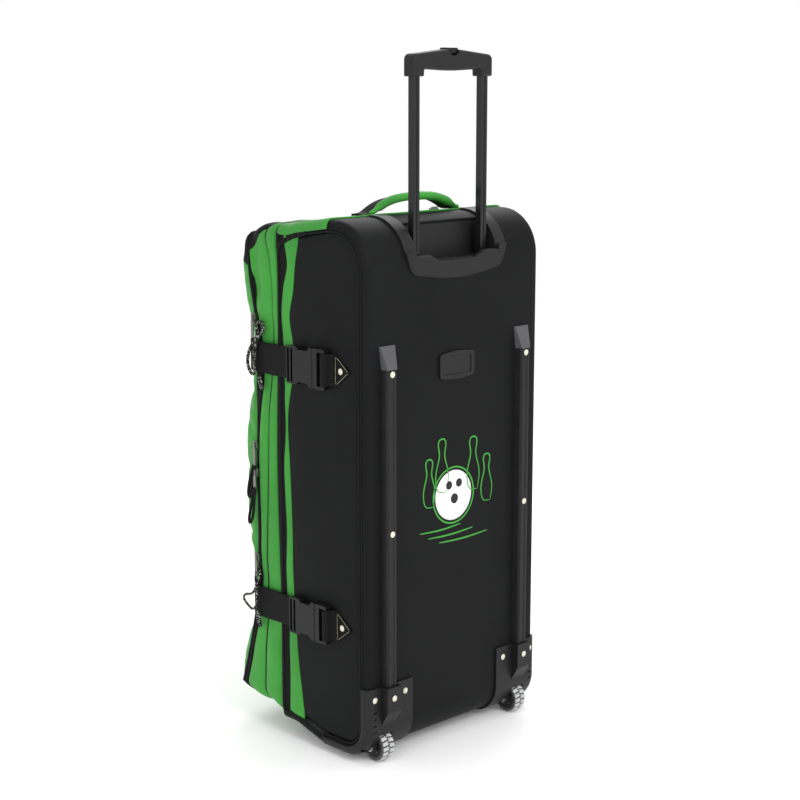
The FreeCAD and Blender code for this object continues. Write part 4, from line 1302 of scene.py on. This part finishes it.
class BAG_OT_straps(bpy.types.Operator):
    """Sew the two straps round the front and their ends at the buckles"""
    bl_idname = "bag.straps"
    bl_label = "Straps"

    def execute(self, context):
        for level, (low, high) in zip(("lower", "upper"), STRAP_BOXES):
            self.strap(context, level, (low.z + high.z) / 2, (high.z - low.z) / 2)
            self.anchor(context, level, (low.z + high.z) / 2, (high.z - low.z) / 2)
        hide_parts("anchor_straps")
        return {"FINISHED"}

    def strap(self, context, level, z, half):
        thickness = context.scene.bag_sizes.webbing
        front = STRAP_FRONT_Y
        middle = [
            (0.1935, -0.0200), (0.1958, -0.0150), (0.1998, -0.0105), (0.2012, -0.0060), (0.1996, -0.0020),
            (0.1962, -0.0004), (0.1940, -0.0020), (0.1928, -0.0070),
        ][::-1]
        middle += [
            (0.1921, -0.0300), (0.1919, -0.0460), (0.1915, -0.0700), (0.1912, -0.0900), (0.1905, -0.1040),
            (0.1885, -0.1150), (0.1830, -0.1230), (0.1740, -0.1270), (0.1600, front),
        ]
        middle += [(x, front) for x in (0.12, 0.08, 0.04, 0.0, -0.04, -0.08, -0.12)]
        middle += [
            (-0.1600, front), (-0.1740, -0.1270), (-0.1830, -0.1230), (-0.1880, -0.1170), (-0.1898, -0.1080),
        ]
        line = resampled(rounded(middle, 2), 190)
        run = np.linspace(0, 1, len(line))
        path, across = [], []
        for (x, y), t in zip(line, run):
            path.append((x, y, z + 0.0012 * math.sin(9 * t + z * 8) * ease(t, 0.05, 0.2)))
            twist = 0.0010 * math.sin(23 * t + z * 5) * ease(t, 0.08, 0.2) * (1 - ease(t, 0.9, 1.0))
            on_side, on_front = y > -0.115 and x > 0, y < -0.12
            across.append((twist if on_side else 0.0, twist if on_front else 0.0, half - SELVEDGE))
        strap = ribbon("strap_" + level, path, across, thickness)
        settle(strap, "flap", coated("webbing"), "webbing", "front_strap_" + level)
        self.stitches(f"strap_end_stitch_{level}", "flap", "thread", [
            [(-0.1909, -0.1115, z + s * 0.021) for s in np.linspace(-1, 1, 22)],
            [(-0.1897, -0.1155, z + s * 0.021) for s in np.linspace(-1, 1, 22)],
        ])

    def length(self, path):
        """Length of the webbing along its path."""
        return float(np.linalg.norm(np.diff(np.array(path), axis=0), axis=1).sum())

    def anchor(self, context, level, z, half):
        """Webbing end on the case: pointed, riveted, looped through the rear bar of the buckle."""
        thickness = context.scene.bag_sizes.webbing
        x = HALF_W + 0.0011
        line = [(0.1932, 0.0620), (0.1936, 0.0645), (0.1960, 0.0655), (0.2010, 0.0655), (0.2046, 0.0668),
                (0.2052, 0.0705), (0.2046, 0.0742), (0.2010, 0.0757), (0.1960, 0.0768), (0.1922, 0.0790),
                (x + 0.0002, 0.0830), (x, 0.0865)]
        line = resampled(rounded(line, 2), 46)
        path = [(px, py, z) for px, py in line]
        across = [(0, 0, half - SELVEDGE)] * len(path)
        tip_y = 0.1168
        for y in np.linspace(0.0880, tip_y, 26):
            path.append((x, y, z))
            across.append((0, 0, max(0.0016, (half - SELVEDGE) * min(1.0, (tip_y + 0.0012 - y) / 0.0325))))
        web = ribbon("anchor_web_" + level, path, across, thickness)
        settle(web, "case", coated("webbing"), "webbing")
        rise = x + thickness / 2 + 0.0001
        self.stitches(f"anchor_stitch_{level}", "case", "stitch", [
            [(rise, 0.0862, z + s * STITCH_HALF) for s in np.linspace(-1, 1, 16)],
            *[[(rise, y, z + s * (STITCH_HALF - (y - 0.0885) * 0.78))
               for y in np.linspace(0.0885, 0.1130, 13)] for s in (1, -1)],
        ])

    def stitches(self, name, body, thread, rows):
        """Rows of short thread lengths that stand just above the webbing."""
        spots = []
        for row in rows:
            for a, b in zip(row[:-1], row[1:]):
                a, b = Vector(a), Vector(b)
                along = (b - a) * 0.34
                out = Vector((math.copysign(1, a.x), 0, 0))
                across = along.normalized().cross(out)
                spots.append(((a + b) / 2, along * 0.85, across * 0.00026, out * 0.0003))
        piece = coil(name, spots)
        settle(piece, body, coated(thread), "webbing")


# ---- handle on top
class BAG_OT_carry_handle(bpy.types.Operator):
    """Sew the padded carry handle and its end patches"""
    bl_idname = "bag.carry_handle"
    bl_label = "Carry handle"

    def execute(self, context):
        self.band(context)
        self.roll(context)
        self.tabs(context)
        return {"FINISHED"}

    def arch(self, reach, foot, apex, flat_end):
        """Side view of the handle as (x, z), from one foot to the other."""
        half = [(reach + flat_end, foot), (reach + flat_end * 0.5, foot + 0.0002), (reach, foot + 0.0015)]
        half += [(reach * out, foot + up * (apex - foot))
                 for out, up in ((0.90, 0.30), (0.74, 0.62), (0.52, 0.88), (0.26, 0.99))]
        half.append((0, apex))
        line = np.array(half + [(-x, z) for x, z in half[-2::-1]])
        return resampled(rounded(line, 3), 90)

    def band(self, context):
        line = self.arch(0.088, 0.8398, 0.8622, 0.018)
        middle_y, half, crown = 0.0415, 0.0125, 0.0014
        points = [[(x, middle_y + half * s, z + crown * (1 - s * s))
                   for s in (-1, -0.92, -0.6, 0, 0.6, 0.92, 1)] for x, z in line]
        band = lattice("carry_band", points)
        faced(band, (0, 0, 1))
        thick(smooth(band), 0.0034)
        band = applied(band)
        band.data.materials.append(coated("webbing"))
        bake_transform(band)
        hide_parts("handle_band")

    def roll(self, context):
        line = self.arch(0.087, 0.8426, 0.8636, 0.008)
        along = np.gradient(line, axis=0)
        along /= np.linalg.norm(along, axis=1, keepdims=True)
        points = []
        for (x, z), (dx, dz) in zip(line, along):
            pinch = 1 - 0.45 * ease(abs(x), 0.070, 0.094)
            wrinkle = 1 + 0.05 * folds(x * 2.4, 0, 0, 0.035, 6.1)
            radius = 0.0066 * pinch * wrinkle
            row = []
            for a in np.radians(np.linspace(0, 360, 21)):
                up = radius * math.sin(a) * (0.85 if pinch < 0.9 else 1.0)
                row.append((x - dz * up, 0.0605 + radius * math.cos(a), z + dx * up))
            points.append(row)
        roll = lattice("carry_roll", points)
        with edited(roll.data) as body:
            bmesh.ops.remove_doubles(body, verts=body.verts, dist=1e-6)
            bmesh.ops.holes_fill(body, edges=body.edges, sides=0)
            bmesh.ops.recalc_face_normals(body, faces=body.faces)
        roll.data.materials.append(coated("green cloth"))
        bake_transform(roll)
        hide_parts("handle_roll")

    def tabs(self, context):
        first = None
        steps = (0, 0.03, 0.12, 0.3, 0.5, 0.7, 0.88, 0.97, 1)
        for sign, hand in ((1, "left"), (-1, "right")):
            for cloth, slot, xs, ys, rise in (
                    ("green cloth", "green_fabric", (0.080, 0.112), (0.0320, 0.0665), 0.0036),
                    ("black cloth", "black_fabric", (0.096, 0.128), (0.0270, 0.0580), 0.0018)):
                columns = [xs[0] + (xs[1] - xs[0]) * t for t in steps]
                rows = [ys[0] + (ys[1] - ys[0]) * t for t in steps]
                points = []
                for r, y in enumerate(rows):
                    row = []
                    for c, x in enumerate(columns):
                        rim = min(r, c, len(rows) - 1 - r, len(columns) - 1 - c)
                        lift = (-0.0010, 0.45 * rise, rise)[min(rim, 2)]
                        row.append((sign * x, y, float(top_at(y)) + lift + 0.0003 * folds(x, y, 0, 0.02, 3)))
                    points.append(row)
                name = ("carry_tab_" if cloth == "green cloth" else "carry_patch_") + hand
                patch = lattice(name, points)
                faced(patch, (0, 0, 1))
                thick(smooth(patch), 0.0010)
                settle(patch, "case", coated(cloth), slot)
                first = first or patch
        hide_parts("handle_tabs")


# ---- wheels
class BAG_OT_wheels(bpy.types.Operator):
    """Mould the two treaded tyres"""
    bl_idname = "bag.wheels"
    bl_label = "Tyres"

    def execute(self, context):
        for hand in ("left", "right"):
            low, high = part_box("tyre_" + hand)
            centre = (low + high) / 2
            radius, half_w = (high.z - low.z) / 2, (high.x - low.x) / 2
            bore = radius - 0.0082
            lugs = 18
            section = [(-1.0, bore), (-1.0, radius - 0.0050)]
            section += [(s, radius - 0.0012 * abs(s) ** 3 - (0.0016 if abs(s) > 0.93 else 0))
                        for s in np.linspace(-0.98, 0.98, 23)]
            section += [(1.0, radius - 0.0050), (1.0, bore)]
            points = []
            for a in np.linspace(0, 2 * math.pi, 216, endpoint=False):
                row = []
                back, up = math.cos(a), math.sin(a)
                for s, r in section:
                    if abs(s) < 0.97:
                        lane = a / (2 * math.pi) * lugs + (0.5 if s > 0 else 0.0) + 0.20 * abs(s)
                        groove = 0.30 > lane % 1 or abs(s - 0.10 * math.sin(lugs * a)) < 0.09
                        r -= 0.0021 if groove else 0.0
                    row.append((centre.x + s * half_w, centre.y + r * back, centre.z + r * up))
                row.append(row[0])
                points.append(row)
            tyre = lattice("tread_" + hand, points, closed=True)
            with edited(tyre.data) as body:
                bmesh.ops.remove_doubles(body, verts=body.verts, dist=1e-6)
                bmesh.ops.recalc_face_normals(body, faces=body.faces)
            # the tread attribute is how deep each point lies in a groove; the tyre material turns it into
            # painted shade in the grooves
            tread = tyre.data.attributes.new("tread", "FLOAT", "POINT")
            for vertex, value in zip(tyre.data.vertices, tread.data):
                out = math.hypot(vertex.co.y - centre.y, vertex.co.z - centre.z)
                side = 0.0012 * (abs(vertex.co.x - centre.x) / half_w) ** 3
                value.value = ease(radius - side - out, 0.0004, 0.0016)
            settle(tyre, "wheel_" + hand, coated("tyre"), "tyre", "tyre_" + hand)
        return {"FINISHED"}


# ---- linings
class BAG_OT_linings(bpy.types.Operator):
    """Hang the cloth linings that show when the lid is open"""
    bl_idname = "bag.linings"
    bl_label = "Linings"

    def execute(self, context):
        for node, name, body in (("lining_panel", "rear_lining", "case"), ("lid_lining", "lid_cloth", "lid")):
            low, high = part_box(node)
            middle, wave = (low.y + high.y) / 2, 0.0007
            points = [[(x, middle + wave * folds(x, 0, z, 0.09, 8.3), z)
                       for x in np.linspace(low.x, high.x, 36)] for z in np.linspace(low.z, high.z, 60)]
            sheet = lattice(name, points)
            thick(sheet, 0.0006, 0.0)
            settle(sheet, body, coated("lining"), "lining", node)
        return {"FINISHED"}


# ---- printed motif
class BAG_OT_motif(bpy.types.Operator):
    """Print a plain ball-and-pins motif on the back"""
    bl_idname = "bag.motif"
    bl_label = "Motif"

    def execute(self, context):
        cover = bpy.data.objects["back_cover"]
        graph = context.evaluated_depsgraph_get()
        self.tree = BVHTree.FromObject(cover, graph)
        ball = (0.004, 0.402)
        radius = 0.040
        white = [self.ring(ball, 0.0, radius)]
        dark = [self.ring((ball[0] + dx, ball[1] + dz), 0.0, r)
                for dx, dz, r in ((0.010, 0.017, 0.0068), (-0.012, 0.018, 0.0068), (-0.002, -0.006, 0.0080))]
        green = [self.ring(ball, radius + 0.0035, radius + 0.0062)]
        pins = ((0.058, 0.428, 0.88), (0.030, 0.452, 0.98), (-0.040, 0.446, 0.98), (-0.071, 0.418, 0.88))
        green += [self.pin(x, z, size) for x, z, size in pins]
        for k, (start, stop) in enumerate(((0.078, -0.012), (0.060, -0.040), (0.036, -0.074))):
            z = 0.352 - 0.011 * k
            line = [(start, z), ((start + stop) / 2, z - 0.0025), (stop, z + 0.001)]
            green.append(self.stroke(line, 0.0014))
        self.lay("motif_white", white, "print white", 0.00030)
        self.lay("motif_dark", dark, "hub", 0.00050)
        self.lay("motif_green", green, "print green", 0.00040)
        return {"FINISHED"}

    def ring(self, centre, inner, outer):
        """Rows of (x, z) across a ring, or a disc where inner is 0."""
        rows = []
        for a in np.linspace(0, 2 * math.pi, 65):
            rows.append([(centre[0] + r * math.cos(a), centre[1] + r * math.sin(a))
                         for r in np.linspace(max(inner, 0.0002), outer, 5)])
        return rows

    def stroke(self, line, width):
        """A brush line that swells in its middle and thins at its ends."""
        line = resampled(rounded(line, 3), 40)
        way = np.gradient(line, axis=0)
        way /= np.linalg.norm(way, axis=1, keepdims=True)
        rows = []
        for i, ((x, z), (dx, dz)) in enumerate(zip(line, way)):
            t = i / (len(line) - 1)
            half = width * (0.35 + 0.65 * math.sin(math.pi * t) ** 0.5)
            rows.append([(x - dz * half * s, z + dx * half * s) for s in (-1, 0, 1)])
        return rows

    def pin(self, x, z, size):
        """Outline of a skittle, drawn in one stroke."""
        half = [(0.0, 0.036), (0.0062, 0.034), (0.0072, 0.027), (0.0046, 0.018), (0.0050, 0.010),
                (0.0108, -0.006), (0.0118, -0.018), (0.0080, -0.034)]
        line = [(-0.0080, -0.034)] + [(-a, b) for a, b in half[-2:0:-1]] + half + [(-0.0082, -0.0345)]
        return self.stroke([(x + a * size * 1.25, z + b * size * 1.25) for a, b in line], 0.0013)

    def lay(self, name, shapes, finish, height):
        """Lays the shapes on the back panel as one piece, standing off it by height."""
        parts = []
        for number, rows in enumerate(shapes):
            points = []
            for row in rows:
                spots = []
                for x, z in row:
                    hit = self.tree.ray_cast(Vector((x, 0.3, z)), Vector((0, -1, 0)))[0]
                    spots.append((x, hit.y + height, z))
                points.append(spots)
            parts.append(lattice(f"{name}_{number}", points))
        joined = bmesh.new()
        for part in parts:
            joined.from_mesh(part.data)
            bpy.data.objects.remove(part)
        mesh = bpy.data.meshes.new(name)
        joined.to_mesh(mesh)
        joined.free()
        motif = add_object(name, mesh)
        for face in mesh.polygons:
            if face.normal.y < 0:
                face.flip()
        thick(motif, 0.0004)
        settle(motif, "case", coated(finish), "black_fabric")


# ---- pulls
class BAG_OT_pulls(bpy.types.Operator):
    """Tie the short sewn pulls to the pocket sliders"""
    bl_idname = "bag.pulls"
    bl_label = "Zip pulls"

    def execute(self, context):
        self.loop("pull_upper", "pocket_slide_1", [
            (0.1930, -0.094, 0.668), (0.1945, -0.083, 0.671), (0.1950, -0.076, 0.664),
            (0.1950, -0.080, 0.652), (0.1955, -0.092, 0.646), (0.1962, -0.101, 0.636),
            (0.1965, -0.112, 0.622), (0.1960, -0.117, 0.604), (0.1962, -0.112, 0.590),
            (0.1968, -0.102, 0.584), (0.1970, -0.097, 0.592), (0.1972, -0.099, 0.612),
            (0.1970, -0.096, 0.632), (0.1962, -0.089, 0.646), (0.1950, -0.093, 0.660),
            (0.1935, -0.099, 0.668),
        ], 0.0026, "flecked cord")
        self.tag("pull_upper_tag", "pocket_slide_1", (0.1955, -0.0905, 0.586), (0.1938, -0.0835, 0.562))
        self.loop("pull_middle_a", "pocket_slide_2", [
            (0.1930, -0.108, 0.440), (0.1938, -0.112, 0.428), (0.1930, -0.120, 0.408),
            (0.1915, -0.126, 0.386), (0.1920, -0.120, 0.380), (0.1935, -0.114, 0.398),
            (0.1940, -0.107, 0.420), (0.1934, -0.105, 0.438),
        ], 0.0027, "cord")
        self.loop("pull_middle_b", "pocket_slide_3", [
            (0.1935, -0.105, 0.403), (0.1990, -0.104, 0.395), (0.2012, -0.106, 0.374),
            (0.2014, -0.113, 0.350), (0.2012, -0.111, 0.341), (0.2012, -0.104, 0.350),
            (0.2010, -0.100, 0.370), (0.1985, -0.101, 0.392),
        ], 0.0023, "cord")
        self.loop("pull_lower", "pocket_slide_4", [
            (0.1930, -0.100, 0.268), (0.1945, -0.094, 0.258), (0.1962, -0.100, 0.246),
            (0.1968, -0.106, 0.232), (0.1966, -0.114, 0.222), (0.1940, -0.134, 0.218),
            (0.1935, -0.141, 0.210), (0.1945, -0.132, 0.203), (0.1960, -0.116, 0.196),
            (0.1968, -0.106, 0.200), (0.1970, -0.101, 0.216), (0.1970, -0.101, 0.236),
            (0.1960, -0.106, 0.252), (0.1940, -0.103, 0.266),
        ], 0.0020, "flecked cord")
        self.tag("pull_lower_tag", "pocket_slide_4", (0.1960, -0.104, 0.196), (0.1940, -0.097, 0.170))
        return {"FINISHED"}

    def loop(self, name, body, points, radius, finish):
        """A sewn loop of stiff cord through a slider's eye."""
        cord = line_curve(name, points, radius, cyclic=True, order=3)
        settle(cord, body, coated(finish), "webbing")

    def tag(self, name, body, start, end):
        """A small moulded grip on the end of a pull, domed on its face, with raised ribs."""
        half = 0.0055
        start, end = Vector(start), Vector(end)
        along = end - start
        across = along.cross(Vector((1, 0, 0))).normalized()
        out = across.cross(along).normalized()
        out = out if out.x > 0 else -out
        points = []
        for i, t in enumerate(np.linspace(0, 1, 15)):
            wide = half * (0.72 + 0.28 * math.sin(math.pi * t)) * (0.75 if i in (0, 14) else 1)
            row = []
            for s in np.linspace(-1, 1, 9):
                rib = 0.0004 if i % 2 and abs(s) < 0.6 else 0.0
                row.append(tuple(start + along * t + across * wide * s + out * (0.0012 * (1 - s ** 4) + rib)))
            points.append(row)
        tag = lattice(name, points)
        faced(tag, (1, 0, 0))
        thick(tag, 0.0022)
        settle(tag, body, coated("flecked cord"), "webbing")


# ---- stage
class BAG_OT_stage(bpy.types.Operator):
    """Set the floor, the soft lights and the camera"""
    bl_idname = "bag.stage"
    bl_label = "Stage"

    def execute(self, context):
        scene = context.scene
        floor = self.floor()
        world = bpy.data.worlds.new("studio")
        world.use_nodes = True
        sky = world.node_tree.nodes["Background"]
        sky.inputs["Color"].default_value = (1.0, 1.0, 1.0, 1)
        sky.inputs["Strength"].default_value = 1.0
        scene.world = world
        self.lamp("key", place=(0.4, 2.8, 2.4), target=(0.0, 0.1, 0.5), size=1.4, power=46)
        self.lamp("fill", place=(2.8, 1.0, 1.2), target=(0.1, 0.0, 0.5), size=1.2, power=9)
        self.lamp("rim", place=(-1.8, -1.2, 2.4), target=(0.0, 0.0, 0.7), size=1.6, power=22)
        lens = bpy.data.cameras.new("camera")
        lens.lens = 77.0
        lens.sensor_width = 36.0
        lens.clip_end = 50.0
        camera = add_object("camera", lens)
        camera.location = (1.874, 1.968, 1.056)
        tilt_down, heading = 10.92, 136
        camera.rotation_euler = (math.radians(90 - tilt_down), 0, math.radians(heading))
        scene.camera = camera
        scene.view_settings.view_transform = "Standard"
        return {"FINISHED"}

    def floor(self):
        """A pale floor that glows a little, so that it meets the white surroundings without a line."""
        mesh = bpy.data.meshes.new("floor")
        reach = 14.0
        mesh.from_pydata([(-reach, -reach, 0), (reach, -reach, 0), (reach, reach, 0), (-reach, reach, 0)],
                         [], [(0, 1, 2, 3)])
        floor = add_object("floor", mesh)
        paint = bpy.data.materials.new("pale floor")
        paint.use_nodes = True
        shader = paint.node_tree.nodes["Principled BSDF"]
        shader.inputs["Base Color"].default_value = (0.95, 0.95, 0.95, 1)
        shader.inputs["Roughness"].default_value = 0.9
        shader.inputs["Emission Color"].default_value = (1.0, 1.0, 1.0, 1)
        shader.inputs["Emission Strength"].default_value = 0.055
        mesh.materials.append(paint)
        return floor

    def lamp(self, name, place, target, size, power):
        light = bpy.data.lights.new(name, "AREA")
        light.size = size
        light.energy = power
        lamp = add_object(name, light)
        way = Vector(target) - Vector(place)
        lamp.rotation_euler = way.to_track_quat("-Z", "Y").to_euler()
        lamp.location = place
        return lamp


class BAG_OT_finishes(bpy.types.Operator):
    """Give every frame node that stays its finish"""
    bl_idname = "bag.finishes"
    bl_label = "Finishes of the moulded and metal parts"

    def execute(self, context):
        finishes = {
            "moulded": ["corner_guard_left", "corner_guard_right", "handle_tray", "grip", "id_plate",
                        "front_feet", "tube_feet", "tube_plugs"],
            "smooth plastic": ["buckle_socket_lower", "buckle_socket_upper", "buckle_plug_lower",
                               "buckle_plug_upper", "prong_lower_a", "prong_lower_b", "prong_upper_a",
                               "prong_upper_b", "grip_button"],
            "rail": ["rail_left", "rail_right"],
            "rail cap": ["rail_caps"],
            "board": ["back_board", "base_board"],
            "rivet": ["back_rivets", "strap_rivets"],
            "hub": ["wheel_hub_left", "wheel_hub_right"],
            "tube": ["inner_tubes", "outer_tubes"],
            "slider metal": ["main_zip_slider", "pocket_slider_1", "pocket_slider_2", "pocket_slider_3",
                             "pocket_slider_4"],
            "steel": ["wheel_axles", "bearings_left", "bearings_right", "push_rods"],
        }
        for finish, names in finishes.items():
            for name in names:
                mesh = nodes[name].data
                mesh.materials.clear()
                mesh.materials.append(coated(finish))
        return {"FINISHED"}


class BAG_PT_panel(bpy.types.Panel):
    """Ball bag"""
    bl_label = "Ball bag"
    bl_idname = "BAG_PT_panel"
    bl_space_type = "VIEW_3D"
    bl_region_type = "UI"
    bl_category = "Ball bag"

    def draw(self, context):
        for group in (context.scene.bag_colours, context.scene.bag_sizes):
            for key in group.bl_rna.properties.keys():
                if key not in ("rna_type", "name"):
                    self.layout.prop(group, key)
        for operator in OPERATORS:
            self.layout.operator(operator.bl_idname)


OPERATORS = [
    BAG_OT_stage, BAG_OT_finishes, BAG_OT_back, BAG_OT_sides, BAG_OT_ends, BAG_OT_lid, BAG_OT_flap,
    BAG_OT_zips, BAG_OT_straps, BAG_OT_carry_handle, BAG_OT_wheels, BAG_OT_linings, BAG_OT_motif,
    BAG_OT_pulls,
]
GROUPS = [BagColours, BagSizes]


def register():
    for part in [*GROUPS, *OPERATORS, BAG_PT_panel]:
        bpy.utils.register_class(part)
    bpy.types.Scene.bag_colours = bpy.props.PointerProperty(type=BagColours)
    bpy.types.Scene.bag_sizes = bpy.props.PointerProperty(type=BagSizes)


def unregister():
    del bpy.types.Scene.bag_colours
    del bpy.types.Scene.bag_sizes
    for part in reversed([*GROUPS, *OPERATORS, BAG_PT_panel]):
        bpy.utils.unregister_class(part)


def main():
    register()
    for operator in OPERATORS:
        group, name = operator.bl_idname.split(".")
        getattr(getattr(bpy.ops, group), name)()
    bpy.context.view_layer.update()


if __name__ == "__main__":
    main()
